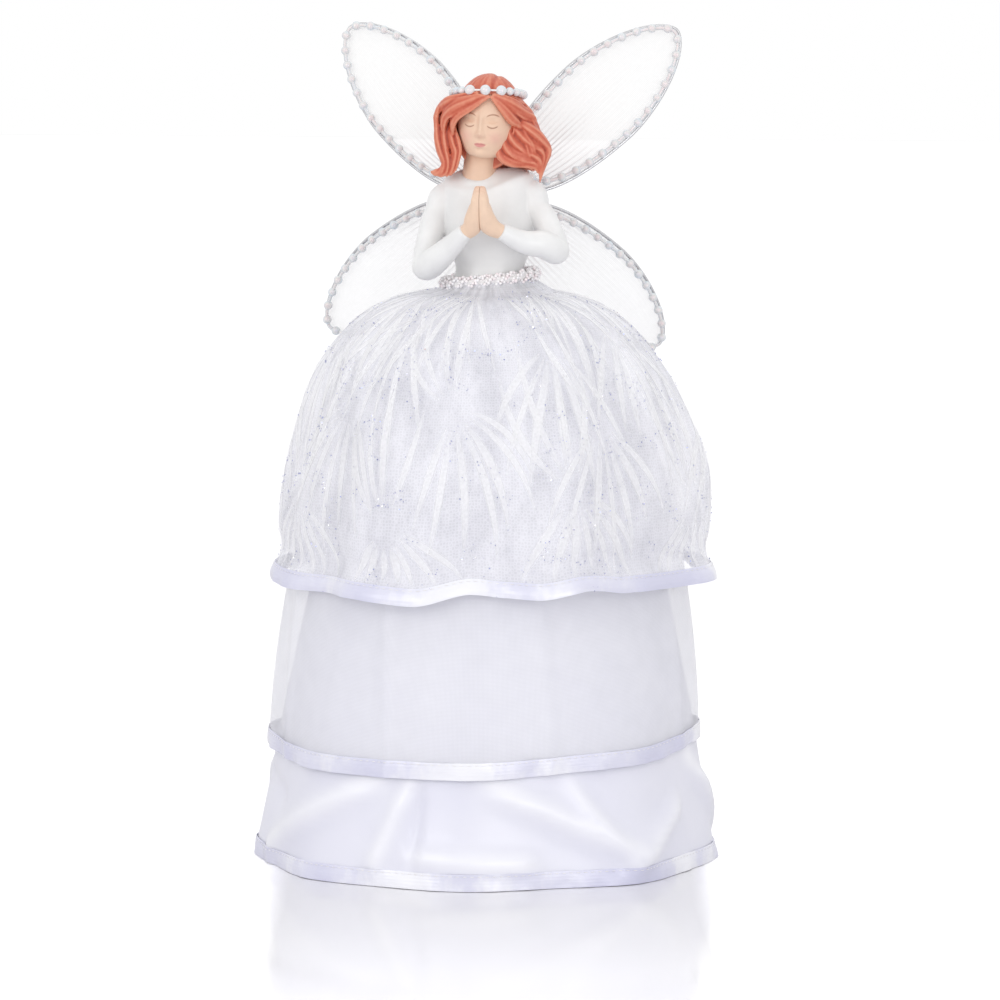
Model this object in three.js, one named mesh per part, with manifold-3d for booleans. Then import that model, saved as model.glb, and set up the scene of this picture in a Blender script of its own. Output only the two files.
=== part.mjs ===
// Angel tree topper: a painted cast bust with four wire wings, standing on a paperboard cone
// that is dressed in three gathered skirts. The cone's open base goes over the top of a tree.
// Millimetres, +Z up. The figure faces -Y. The origin is on the base plane, on the cone's axis.
import * as THREE from "three";
import { mergeVertices } from "three/addons/utils/BufferGeometryUtils.js";
import Module from "manifold-3d";

const wasm = await Module();
wasm.setup();

// Clearance between pieces that are glued, tied or fitted together
const GAP = 0.3;

// Cone
const CONE_BASE_RADIUS = 72;
const CONE_TOP_RADIUS = 12.5;
const CONE_HEIGHT = 202.5;
const CONE_WALL = 1;

// Skirts: cloth, ribbon, the standing headings at the waist, and each layer's hem
const CLOTH = 0.6;
const RIBBON_WIDTH = 6;
const RIBBON_THICKNESS = 0.5;
const HEADING_HEIGHT = 3.7;
const FLARE_STEP = 0.6;
const PRESSED_LAYER = 2.4;
const GATHER_THREAD_RADIUS = 0.6;
const SATIN_HEM_RADIUS = 80.9;
const SATIN_HEM_HEIGHT = 0.8;
const ORGANZA_HEM_INSET = 4.5;
const ORGANZA_HEM_HEIGHT = 40;
const LACE_HEM_INSET = 4.1;
const LACE_HEM_HEIGHT = 101;
const MAIN_FOLDS = 8;

// Bust
const SPIGOT_LENGTH = 16;
const BUST_HEIGHT = 39.5;
const SHOULDER_HALF_WIDTH = 17;
const CHEST_DEPTH = 13.2;
const BACK_DEPTH = 9.2;
const WAIST_HALF_WIDTH = 12.8;
const SHOULDER_DROP = 7.9;
const ARM_RADIUS = 5.2;
const ARMS = {
  right: { side: -1, elbowOut: 5.1, elbowDrop: 31.4 },
  left: { side: 1, elbowOut: 7.7, elbowDrop: 25.4 },
};
const ELBOW_FORWARD = 10;
const WRIST_RADIUS = 3;
const WRIST_OUT = 6.2;
const WRIST_FORWARD = 23;
const WRIST_DROP = 18.1;
const HAND_LENGTH = 16;
const NECK_RADIUS = 6.2;
const NECK_LENGTH = 4.5;
const NECK_SIDE = -1.6;
const NECK_PEG_RADIUS = 4;
const NECK_PEG_LENGTH = 6;
const HEAD_HALF_WIDTH = 10.6;
const HEAD_HALF_DEPTH = 12.6;
const HEAD_HALF_HEIGHT = 16.6;
const HEAD_TURN = -3;
const HEAD_LEAN = 4;
const HAIR_THICKNESS = 2.8;

// Pearl headband, and the belt of twisted bead strands
const LARGE_PEARL_RADIUS = 2;
const SMALL_PEARL_RADIUS = 1.5;
const HEADBAND_PITCH = 4.2;
const HEADBAND_THREAD_RADIUS = 0.4;
const HEADBAND_RISE = 10;
const HEADBAND_TILT = 6;
const HEADBAND_SIDE_EASE = 0.7;
const BELT_RISE = 4.5;
const BELT_SLANT = 6.5;
const BELT_STRAND_RADIUS = 1;
const BELT_TWIST_RADIUS = 1.5;
const BELT_STRANDS = 3;
const BELT_TWISTS = 7;

// Wings: all four are alike, and each is bent to its own angle above the horizontal and sweep to the back
const WING_LENGTH = 84.8;
const WING_HALF_WIDTH = 16.8;
const WING_WIDEST = 0.52;
const WING_ROOT_BLUNTNESS = 0.31;
const WINGS = {
  upper_right: { side: -1, angle: 46, sweep: 25 },
  upper_left: { side: 1, angle: 43, sweep: 15 },
  lower_right: { side: -1, angle: -38, sweep: 25 },
  lower_left: { side: 1, angle: -45, sweep: 29 },
};
const WING_WIRE_RADIUS = 0.6;
const WING_STEM_RADIUS = 0.9;
const WING_STEM_LENGTH = 4.5;
const WING_BALL_RADIUS = 1.3;
const WING_COVER_THICKNESS = 0.4;
const WING_COVER_START = 3;
const WING_PEARL_RADIUS = 1.75;
const WING_PEARL_PITCH = 5;
const WING_PEARL_INSET = 1.3;
const WING_THREAD_RADIUS = 0.5;
const BINDING_LENGTH = 2.4;
const BINDING_THICKNESS = 0.7;
const HUB_RADIUS = 5.5;
const HUB_DEPTH = 10;
const HUB_BELOW_SHOULDERS = 9;

// Places that follow from the sizes above
const WAIST_Z = CONE_HEIGHT + GAP + HEADING_HEIGHT;
const BUST_TOP_Z = WAIST_Z + BUST_HEIGHT;
const HUB_Z = BUST_TOP_Z - HUB_BELOW_SHOULDERS;
const HUB_BACK_Y = BACK_DEPTH + HUB_DEPTH;
const BALL_Y = HUB_BACK_Y - WING_BALL_RADIUS - GAP;

const finishes = {
  paperboard: { color: 0xc9bfae, roughness: 0.9, metalness: 0 },
  satin: { color: 0xe6e6f2, roughness: 0.35, metalness: 0 },
  organza: { color: 0xf0f0f4, roughness: 0.5, metalness: 0 },
  lace: { color: 0xf2f2f5, roughness: 0.6, metalness: 0 },
  ribbon: { color: 0xe2e2ee, roughness: 0.3, metalness: 0 },
  thread: { color: 0xf0eeee, roughness: 0.8, metalness: 0 },
  whitePaint: { color: 0xf2f2f2, roughness: 0.25, metalness: 0 },
  skinPaint: { color: 0xebcbb4, roughness: 0.5, metalness: 0 },
  hairPaint: { color: 0xc8674f, roughness: 0.45, metalness: 0 },
  pearl: { color: 0xefecef, roughness: 0.2, metalness: 0.1 },
  seedBead: { color: 0xe9dcdf, roughness: 0.25, metalness: 0 },
  silverWire: { color: 0xb8b8bb, roughness: 0.3, metalness: 0.9 },
  nylon: { color: 0xfafafa, roughness: 0.6, metalness: 0 },
};

const point = (x, y, z) => new THREE.Vector3(x, y, z);
const radians = (degrees) => (degrees * Math.PI) / 180;
const upward = point(0, 0, 1);

const topper = new THREE.Group();

function addPiece(name, geometry, finish, parent = topper) {
  const mesh = new THREE.Mesh(geometry, new THREE.MeshStandardMaterial(finishes[finish]));
  mesh.name = name;
  parent.add(mesh);
}

// Solids for cutting and joining

function solidOf(geometry) {
  const bare = geometry.clone();
  bare.deleteAttribute("normal");
  bare.deleteAttribute("uv");
  const merged = mergeVertices(bare, 1e-4);
  return new wasm.Manifold(
    new wasm.Mesh({
      numProp: 3,
      vertProperties: merged.attributes.position.array,
      triVerts: new Uint32Array(merged.index.array),
    }),
  );
}

function geometryOf(solid) {
  const mesh = solid.getMesh();
  const geometry = new THREE.BufferGeometry();
  geometry.setAttribute("position", new THREE.BufferAttribute(mesh.vertProperties, 3));
  geometry.setIndex(new THREE.BufferAttribute(mesh.triVerts, 1));
  return geometry;
}

const joined = (geometries) => geometries.map(solidOf).reduce((a, b) => a.add(b));
const cutBy = (solid, geometries) => geometries.map(solidOf).reduce((a, b) => a.subtract(b), solid);

// Closed surfaces from rings of points. Each ring turns right-handed about the way the rings run.

function surface(positions, indices) {
  const geometry = new THREE.BufferGeometry();
  geometry.setAttribute("position", new THREE.Float32BufferAttribute(positions, 3));
  geometry.setIndex(indices);
  return geometry;
}

function sideFaces(ringCount, sides, wraps) {
  const indices = [];
  for (let i = 0; i < (wraps ? ringCount : ringCount - 1); i++) {
    for (let j = 0; j < sides; j++) {
      const next = ((i + 1) % ringCount) * sides;
      const a = i * sides + j;
      const b = i * sides + ((j + 1) % sides);
      const c = next + ((j + 1) % sides);
      const d = next + j;
      indices.push(a, b, c, a, c, d);
    }
  }
  return indices;
}

function loft(rings) {
  const sides = rings[0].length;
  const positions = rings.flat().flatMap((p) => p.toArray());
  const indices = sideFaces(rings.length, sides, false);
  for (const ring of [rings[0], rings[rings.length - 1]]) {
    const middle = ring.reduce((sum, p) => sum.add(p), point(0, 0, 0)).divideScalar(sides);
    positions.push(...middle.toArray());
  }
  const last = (rings.length - 1) * sides;
  const middleIndex = rings.length * sides;
  for (let j = 0; j < sides; j++) {
    const k = (j + 1) % sides;
    indices.push(middleIndex, k, j, middleIndex + 1, last + j, last + k);
  }
  return surface(positions, indices);
}

function loopLoft(rings) {
  const positions = rings.flat().flatMap((p) => p.toArray());
  return surface(positions, sideFaces(rings.length, rings[0].length, true));
}

// A ring of points round a path point, with half sizes along the "up" direction and across it
function ringAt(centre, tangent, up, halfUp, halfAcross, sides) {
  const first = up.clone().addScaledVector(tangent, -up.dot(tangent)).normalize();
  const second = tangent.clone().cross(first);
  return Array.from({ length: sides }, (_, j) => {
    const angle = (2 * Math.PI * j) / sides;
    return centre
      .clone()
      .addScaledVector(first, halfUp * Math.cos(angle))
      .addScaledVector(second, halfAcross * Math.sin(angle));
  });
}

function valueAlong(values, t) {
  const place = t * (values.length - 1);
  const low = Math.min(Math.floor(place), values.length - 2);
  return THREE.MathUtils.lerp(values[low], values[low + 1], place - low);
}

// A tapering limb along a smooth curve through points, with half sizes given for each point
function limb({ points, halfUp, halfAcross, up, steps, sides, grow = 0 }) {
  const curve = new THREE.CatmullRomCurve3(points);
  const rings = Array.from({ length: steps + 1 }, (_, i) => {
    const t = i / steps;
    const tall = valueAlong(halfUp, t) + grow;
    const wide = valueAlong(halfAcross, t) + grow;
    return ringAt(curve.getPoint(t), curve.getTangent(t), up, tall, wide, sides);
  });
  return loft(rings);
}

// A string of pearls on a path of evenly spaced points: thread at the even ones, a pearl at the odd ones
function pearlString({ path, closed, threadRadius, pearlRadiusAt, sides = 5 }) {
  const count = path.length;
  const rings = path.map((p, i) => {
    const before = path[closed ? (i - 1 + count) % count : Math.max(i - 1, 0)];
    const after = path[closed ? (i + 1) % count : Math.min(i + 1, count - 1)];
    const tangent = after.clone().sub(before).normalize();
    const radius = i % 2 === 0 ? threadRadius : pearlRadiusAt((i - 1) / 2);
    return ringAt(p, tangent, upward, radius, radius, sides);
  });
  return closed ? loopLoft(rings) : loft(rings);
}

// Wing directions in the part's frame: along it, across it, and out of its front

function wingFrame(wing) {
  const angle = radians(wing.angle);
  const sweep = radians(wing.sweep);
  const along = point(
    wing.side * Math.cos(angle) * Math.cos(sweep),
    Math.sin(sweep),
    Math.sin(angle) * Math.cos(sweep),
  );
  const across = point(-Math.sin(angle), 0, wing.side * Math.cos(angle));
  return { along, across, front: along.clone().cross(across) };
}

function wingRoot(wing) {
  const angle = radians(wing.angle);
  return point(wing.side * HUB_RADIUS * Math.cos(angle), BALL_Y, HUB_Z + HUB_RADIUS * Math.sin(angle));
}

const wingPearlFront = WING_COVER_THICKNESS / 2 + GAP + WING_PEARL_RADIUS;

// Cone

function cone() {
  const profile = [
    new THREE.Vector2(CONE_BASE_RADIUS, 0),
    new THREE.Vector2(CONE_TOP_RADIUS, CONE_HEIGHT),
    new THREE.Vector2(CONE_TOP_RADIUS - CONE_WALL, CONE_HEIGHT),
    new THREE.Vector2(CONE_BASE_RADIUS - CONE_WALL, 0),
    new THREE.Vector2(CONE_BASE_RADIUS, 0),
  ];
  return new THREE.LatheGeometry(profile, 40).rotateX(Math.PI / 2);
}

// Skirts. Each hangs from a standing heading tied round the waist, flares, and falls to its hem.
// fullness and roundness shape the fall, foldGrowth says how early the folds begin above the hem.

const skirts = {
  satin: {
    layer: 0,
    hemRadius: SATIN_HEM_RADIUS,
    hemHeight: SATIN_HEM_HEIGHT,
    fullness: 1,
    roundness: 0.45,
    foldDepth: 1.8,
    foldGrowth: 4,
  },
  organza: {
    layer: 1,
    hemRadius: SATIN_HEM_RADIUS - ORGANZA_HEM_INSET,
    hemHeight: ORGANZA_HEM_HEIGHT,
    fullness: 1.7,
    roundness: 0.45,
    foldDepth: 1,
    foldGrowth: 1.5,
  },
  lace: {
    layer: 2,
    hemRadius: SATIN_HEM_RADIUS - LACE_HEM_INSET,
    hemHeight: LACE_HEM_HEIGHT,
    fullness: 2.6,
    roundness: 0.55,
    foldDepth: 3,
    foldGrowth: 1.2,
  },
};

const headingRadius = (skirt) => CONE_TOP_RADIUS + skirt.layer * (CLOTH + GAP);
const flareTop = (skirt) => CONE_HEIGHT + (skirt.layer + 1) * FLARE_STEP;

// Inner face of a skirt at a share of its drop below the flare, 0 at the waist and 1 at the hem
function skirtProfile(skirt, drop) {
  const start = headingRadius(skirt);
  const swell = Math.pow(1 - Math.pow(1 - drop, skirt.fullness), skirt.roundness);
  const radius = start + (skirt.hemRadius - start) * swell;
  const height = THREE.MathUtils.lerp(flareTop(skirt), skirt.hemHeight, drop);
  return new THREE.Vector2(radius, height);
}

// The lower wings lie against the back of the skirts and press each layer in front of the pearls.
// Returns the radius that is left at a height and angle round the axis, clear of the cone.
function pressedRadius(skirt, radius, height, angle) {
  const outward = point(Math.cos(angle), Math.sin(angle), 0);
  const layersOutside = skirts.lace.layer - skirt.layer;
  const inFront = wingPearlFront + WING_PEARL_RADIUS + (layersOutside + 1) * PRESSED_LAYER;
  const fade = WING_HALF_WIDTH;
  let left = radius;
  for (const wing of [WINGS.lower_right, WINGS.lower_left]) {
    const { along, across, front } = wingFrame(wing);
    const facing = -front.dot(outward);
    if (facing < 0.05) continue;
    const fromRoot = point(0, 0, height).sub(wingRoot(wing));
    const reach = front.dot(fromRoot) / facing;
    const hit = fromRoot.addScaledVector(outward, reach);
    const beyondTip = hit.dot(along) - WING_LENGTH;
    const besideWing = Math.abs(hit.dot(across)) - WING_HALF_WIDTH;
    const outside = Math.max(beyondTip, besideWing) - fade;
    const weight = 1 - THREE.MathUtils.smoothstep(outside, 0, 1.5 * fade);
    const limit = reach - inFront / facing;
    left = Math.min(left, THREE.MathUtils.lerp(radius, Math.min(radius, limit), weight));
  }
  const coneRadius = THREE.MathUtils.lerp(CONE_BASE_RADIUS, CONE_TOP_RADIUS, height / CONE_HEIGHT);
  const nearest = Math.max(coneRadius, CONE_TOP_RADIUS) + headingRadius(skirt) - CONE_TOP_RADIUS + GAP;
  return Math.min(radius, Math.max(left, nearest));
}

// A point on a skirt, moved outwards from its inner face by a distance
function skirtPoint(skirt, drop, angle, out) {
  const step = 0.004;
  const here = skirtProfile(skirt, drop);
  const above = skirtProfile(skirt, Math.max(0, drop - step));
  const below = skirtProfile(skirt, Math.min(1, drop + step));
  const along = below.sub(above).normalize();
  const fold = skirt.foldDepth * Math.pow(drop, skirt.foldGrowth) * Math.cos(MAIN_FOLDS * angle);
  const height = here.y + along.x * out;
  const radius = pressedRadius(skirt, here.x + fold, height, angle) - along.y * out;
  return point(radius * Math.cos(angle), radius * Math.sin(angle), height);
}

// Sections of a band of a skirt, between two distances from the skirt's inner face
function clothBand(skirt, drops, inner, outer) {
  const segments = 5 * MAIN_FOLDS;
  return Array.from({ length: segments }, (_, j) => {
    const angle = (2 * Math.PI * j) / segments;
    const outside = drops.map((drop) => skirtPoint(skirt, drop, angle, outer));
    const inside = drops.map((drop) => skirtPoint(skirt, drop, angle, inner)).reverse();
    return { angle, outside, inside };
  });
}

function skirtCloth(skirt) {
  const rows = 8;
  const drops = Array.from({ length: rows + 1 }, (_, i) => Math.pow(i / rows, 2.2));
  const top = WAIST_Z - GAP;
  const radius = headingRadius(skirt);
  const sections = clothBand(skirt, drops, 0, CLOTH).map(({ angle, outside, inside }) => {
    const heading = (r) => point(r * Math.cos(angle), r * Math.sin(angle), top);
    return [heading(radius + CLOTH), ...outside, ...inside, heading(radius)];
  });
  return loopLoft(sections);
}

function hemRibbon(skirt) {
  const drops = [1 - RIBBON_WIDTH / (flareTop(skirt) - skirt.hemHeight), 1];
  const inside = CLOTH + GAP;
  const sections = clothBand(skirt, drops, inside, inside + RIBBON_THICKNESS);
  return loopLoft(sections.map((section) => [...section.outside, ...section.inside]));
}

function addSkirts() {
  for (const [name, skirt] of Object.entries(skirts)) {
    addPiece(`${name}_skirt`, skirtCloth(skirt), name);
    addPiece(`${name}_hem_ribbon`, hemRibbon(skirt), "ribbon");
  }
  const ringRadius = headingRadius(skirts.lace) + CLOTH + GAP + GATHER_THREAD_RADIUS;
  const thread = new THREE.TorusGeometry(ringRadius, GATHER_THREAD_RADIUS, 5, 24);
  addPiece("gather_thread", thread.translate(0, 0, WAIST_Z - GAP - GATHER_THREAD_RADIUS), "thread");
}

// Torso: half width, front depth and back depth at shares of the bust's height above the waist.
// Towards the neck the rings move aside with it.

const torsoRings = [
  { rise: 0.05, aside: 0, width: WAIST_HALF_WIDTH + 0.4, front: CHEST_DEPTH - 1.8, back: BACK_DEPTH + 1.2 },
  { rise: 0.19, aside: 0, width: WAIST_HALF_WIDTH, front: CHEST_DEPTH - 2.6, back: BACK_DEPTH },
  { rise: 0.34, aside: 0, width: WAIST_HALF_WIDTH + 1.4, front: CHEST_DEPTH - 2, back: BACK_DEPTH - 0.2 },
  { rise: 0.49, aside: 0.1, width: SHOULDER_HALF_WIDTH - 1.4, front: CHEST_DEPTH, back: BACK_DEPTH },
  { rise: 0.64, aside: 0.2, width: SHOULDER_HALF_WIDTH - 0.8, front: CHEST_DEPTH - 0.8, back: BACK_DEPTH },
  { rise: 0.77, aside: 0.3, width: SHOULDER_HALF_WIDTH - 0.4, front: CHEST_DEPTH - 2.6, back: BACK_DEPTH - 0.4 },
  { rise: 0.86, aside: 0.5, width: SHOULDER_HALF_WIDTH - 0.8, front: CHEST_DEPTH - 4, back: BACK_DEPTH - 1 },
  { rise: 0.92, aside: 0.7, width: NECK_RADIUS + 8.2, front: NECK_RADIUS + 2.2, back: NECK_RADIUS + 1.6 },
  { rise: 0.97, aside: 0.9, width: NECK_RADIUS + 4.2, front: NECK_RADIUS + 1.4, back: NECK_RADIUS + 1.2 },
  { rise: 1, aside: 1, width: NECK_RADIUS + 1, front: NECK_RADIUS + 0.8, back: NECK_RADIUS + 0.8 },
];

function torsoRing(z, width, front, back, aside = 0) {
  const sides = 20;
  return Array.from({ length: sides }, (_, j) => {
    const angle = (2 * Math.PI * j) / sides;
    const depth = Math.sin(angle) < 0 ? front : back;
    return point(aside * NECK_SIDE + width * Math.cos(angle), depth * Math.sin(angle), z);
  });
}

function torso(grow = 0) {
  const round = (z, radius) => torsoRing(z, radius + grow, radius + grow, radius + grow);
  const spigotRadius = CONE_TOP_RADIUS - CONE_WALL - GAP;
  const waistRadius = CONE_TOP_RADIUS - GAP;
  const seat = CONE_HEIGHT + GAP - grow;
  const rings = [
    round(CONE_HEIGHT - SPIGOT_LENGTH, spigotRadius),
    round(seat - 0.01, spigotRadius),
    round(seat, waistRadius),
    round(WAIST_Z, waistRadius),
  ];
  for (const { rise, aside, width, front, back } of torsoRings) {
    const z = WAIST_Z + rise * BUST_HEIGHT + (rise === 1 ? grow : 0);
    rings.push(torsoRing(z, width + grow, front + grow, back + grow, aside));
  }
  return loft(rings);
}

function torsoCasting() {
  const depth = NECK_PEG_LENGTH + GAP;
  const socket = new THREE.CylinderGeometry(NECK_PEG_RADIUS + GAP, NECK_PEG_RADIUS + GAP, 2 * depth, 12);
  return cutBy(solidOf(torso()), [socket.rotateX(Math.PI / 2).translate(NECK_SIDE, 0, BUST_TOP_Z)]);
}

// Arms, bent at the elbow, with the hands pressed together in front of the chest

function armPath({ side, elbowOut, elbowDrop }) {
  const bend = (x, y, z) => point(x, y, z).multiplyScalar(ARM_RADIUS);
  const shoulder = point(SHOULDER_HALF_WIDTH, 0, BUST_TOP_Z - SHOULDER_DROP).add(bend(-0.1, 0, 0));
  const elbow = point(SHOULDER_HALF_WIDTH + elbowOut, -ELBOW_FORWARD, BUST_TOP_Z - elbowDrop);
  const wrist = point(WRIST_OUT, -WRIST_FORWARD, BUST_TOP_Z - WRIST_DROP);
  const points = [
    shoulder,
    shoulder.clone().add(bend(0.4, -0.4, -0.95)),
    point(elbow.x, -ELBOW_FORWARD, (shoulder.z + elbow.z) / 2).add(bend(-0.3, 0.9, 0.1)),
    elbow,
    elbow.clone().add(bend(-0.75, -0.9, 0.4)),
    wrist.clone().lerp(elbow, 0.42).add(bend(0, -0.19, -0.2)),
    wrist,
  ];
  return points.map((p) => point(side * p.x, p.y, p.z));
}

function arm(shape, grow = 0) {
  const sleeve = [1, 0.92, 0.87, 0.94, 0.96, 0.82].map((share) => share * ARM_RADIUS);
  const radii = [...sleeve, WRIST_RADIUS];
  const up = point(0, 0.3, 1);
  return limb({ points: armPath(shape), halfUp: radii, halfAcross: radii, up, steps: 12, sides: 8, grow });
}

// A hand tapers from the sleeve to the fingertips, with its palm on the plane between the two
function hand(shape) {
  const { side } = shape;
  const path = armPath(shape);
  const wrist = path[path.length - 1];
  const up = point(1, 0, 0);
  const palm = limb({
    points: [
      wrist.clone().lerp(path[path.length - 2], 0.15),
      point(side * 3.4, wrist.y - 1.2, wrist.z + HAND_LENGTH * 0.26),
      point(side * 1.9, wrist.y - 1.8, wrist.z + HAND_LENGTH * 0.55),
      point(side * 0.8, wrist.y - 2, wrist.z + HAND_LENGTH),
    ],
    halfUp: [2.2, 1.9, 1.6, 0.6],
    halfAcross: [2.6, 3.9, 3.4, 1.1],
    up,
    steps: 7,
    sides: 8,
  });
  const thumbRadii = [1.4, 1.2, 0.7];
  const thumb = limb({
    points: [
      point(side * 3.4, wrist.y + 1.6, wrist.z + HAND_LENGTH * 0.2),
      point(side * 2.5, wrist.y + 2, wrist.z + HAND_LENGTH * 0.38),
      point(side * 1.6, wrist.y + 2.4, wrist.z + HAND_LENGTH * 0.55),
    ],
    halfUp: thumbRadii,
    halfAcross: thumbRadii,
    up,
    steps: 3,
    sides: 6,
  });
  const across = 4 * HAND_LENGTH;
  const otherSide = new THREE.BoxGeometry(across, across, across);
  otherSide.translate(side * (GAP / 2 - across / 2), wrist.y, wrist.z);
  return cutBy(joined([palm, thumb]), [otherSide, arm(shape, GAP)]);
}

// Head, hair and headband are built about the base of the neck. The neck is turned with the head,
// and the head leans about the top of the neck.

const neckPlace = new THREE.Matrix4()
  .makeTranslation(NECK_SIDE, 0, BUST_TOP_Z + GAP)
  .multiply(new THREE.Matrix4().makeRotationZ(radians(HEAD_TURN)));
const headPlace = neckPlace
  .clone()
  .multiply(new THREE.Matrix4().makeTranslation(0, 0, NECK_LENGTH))
  .multiply(new THREE.Matrix4().makeRotationY(radians(HEAD_LEAN)))
  .multiply(new THREE.Matrix4().makeTranslation(0, 0, -NECK_LENGTH));

const headCentre = point(0, -2, NECK_LENGTH + HEAD_HALF_HEIGHT - 2.4);

// Raised and sunken features of the face, in half widths and half heights of the head from its middle
const faceFeatures = [
  { x: 0, z: 0.09, wide: 0.14, tall: 0.25, height: 1.3 },
  { x: 0, z: -0.16, wide: 0.18, tall: 0.1, height: 1.5 },
  { x: 0.4, z: 0.07, wide: 0.22, tall: 0.1, height: -0.7 },
  { x: -0.4, z: 0.07, wide: 0.22, tall: 0.1, height: -0.7 },
  { x: 0, z: -0.43, wide: 0.25, tall: 0.08, height: 0.8 },
  { x: 0, z: -0.8, wide: 0.28, tall: 0.14, height: 0.9 },
];

function headPoint(around, rise, grow) {
  const jaw = 1 - 0.24 * Math.max(0, -Math.sin(rise)) ** 1.5;
  const x = Math.cos(rise) * jaw * Math.cos(around);
  const y = Math.cos(rise) * Math.sin(around);
  const z = Math.sin(rise);
  let push = grow;
  for (const f of y < 0 ? faceFeatures : []) {
    push += f.height * Math.exp(-(((x - f.x) / f.wide) ** 2) - ((z - f.z) / f.tall) ** 2);
  }
  const skin = point(x * HEAD_HALF_WIDTH, y * HEAD_HALF_DEPTH, z * HEAD_HALF_HEIGHT);
  return skin.addScaledVector(skin.clone().normalize(), push).add(headCentre);
}

function headBall(grow, columns, rows) {
  const rings = Array.from({ length: rows - 1 }, (_, i) => {
    const rise = -Math.PI / 2 + (Math.PI * (i + 1)) / rows;
    return Array.from({ length: columns }, (_, j) => headPoint((2 * Math.PI * j) / columns, rise, grow));
  });
  return loft(rings).applyMatrix4(headPlace);
}

function neck(grow = 0) {
  const top = headCentre.z - HEAD_HALF_HEIGHT * 0.45;
  const radii = [NECK_RADIUS + 0.4, NECK_RADIUS, NECK_RADIUS + 0.3];
  const points = [point(0, 0, -grow), point(0, 0, NECK_LENGTH / 2), point(0, 0.5, top)];
  const shape = { points, halfUp: radii, halfAcross: radii, up: point(0, 1, 0), steps: 4, sides: 14, grow };
  return limb(shape).applyMatrix4(neckPlace);
}

function headCasting() {
  const overlap = 2;
  const peg = new THREE.CylinderGeometry(NECK_PEG_RADIUS, NECK_PEG_RADIUS, NECK_PEG_LENGTH + overlap, 12);
  peg.rotateX(Math.PI / 2).translate(0, 0, (overlap - NECK_PEG_LENGTH) / 2);
  return joined([headBall(0, 24, 15), neck(), peg.applyMatrix4(neckPlace)]);
}

// Hair: a cap over the skull, open at the face, and wavy locks that hang from the parting

const capCentre = headCentre.clone().add(point(0, 1.6, 0.4));
const capHalf = point(
  HEAD_HALF_WIDTH + HAIR_THICKNESS - 0.8,
  HEAD_HALF_DEPTH + HAIR_THICKNESS - 0.4,
  HEAD_HALF_HEIGHT + HAIR_THICKNESS - 1.4,
);

function hairCap() {
  const cap = new THREE.SphereGeometry(1, 14, 8).rotateX(Math.PI / 2);
  return cap.scale(capHalf.x, capHalf.y, capHalf.z).translate(capCentre.x, capCentre.y, capCentre.z);
}

// The opening in the cap in front of the face: a peak at the parting, wide at the cheeks
function faceWindow() {
  const w = HEAD_HALF_WIDTH;
  const h = HEAD_HALF_HEIGHT;
  const shape = new THREE.Shape();
  shape.moveTo(-0.85 * w, -1.6 * h);
  shape.lineTo(0.85 * w, -1.6 * h);
  shape.lineTo(0.98 * w, -0.2 * h);
  shape.quadraticCurveTo(0.9 * w, 0.4 * h, 0, 0.72 * h);
  shape.quadraticCurveTo(-0.9 * w, 0.4 * h, -0.98 * w, -0.2 * h);
  shape.closePath();
  const depth = 3 * HEAD_HALF_DEPTH;
  const opening = new THREE.ExtrudeGeometry(shape, { depth, bevelEnabled: false, curveSegments: 3 });
  opening.rotateX(Math.PI / 2);
  return opening.translate(headCentre.x, headCentre.y - 0.45 * HEAD_HALF_DEPTH, headCentre.z);
}

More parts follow.
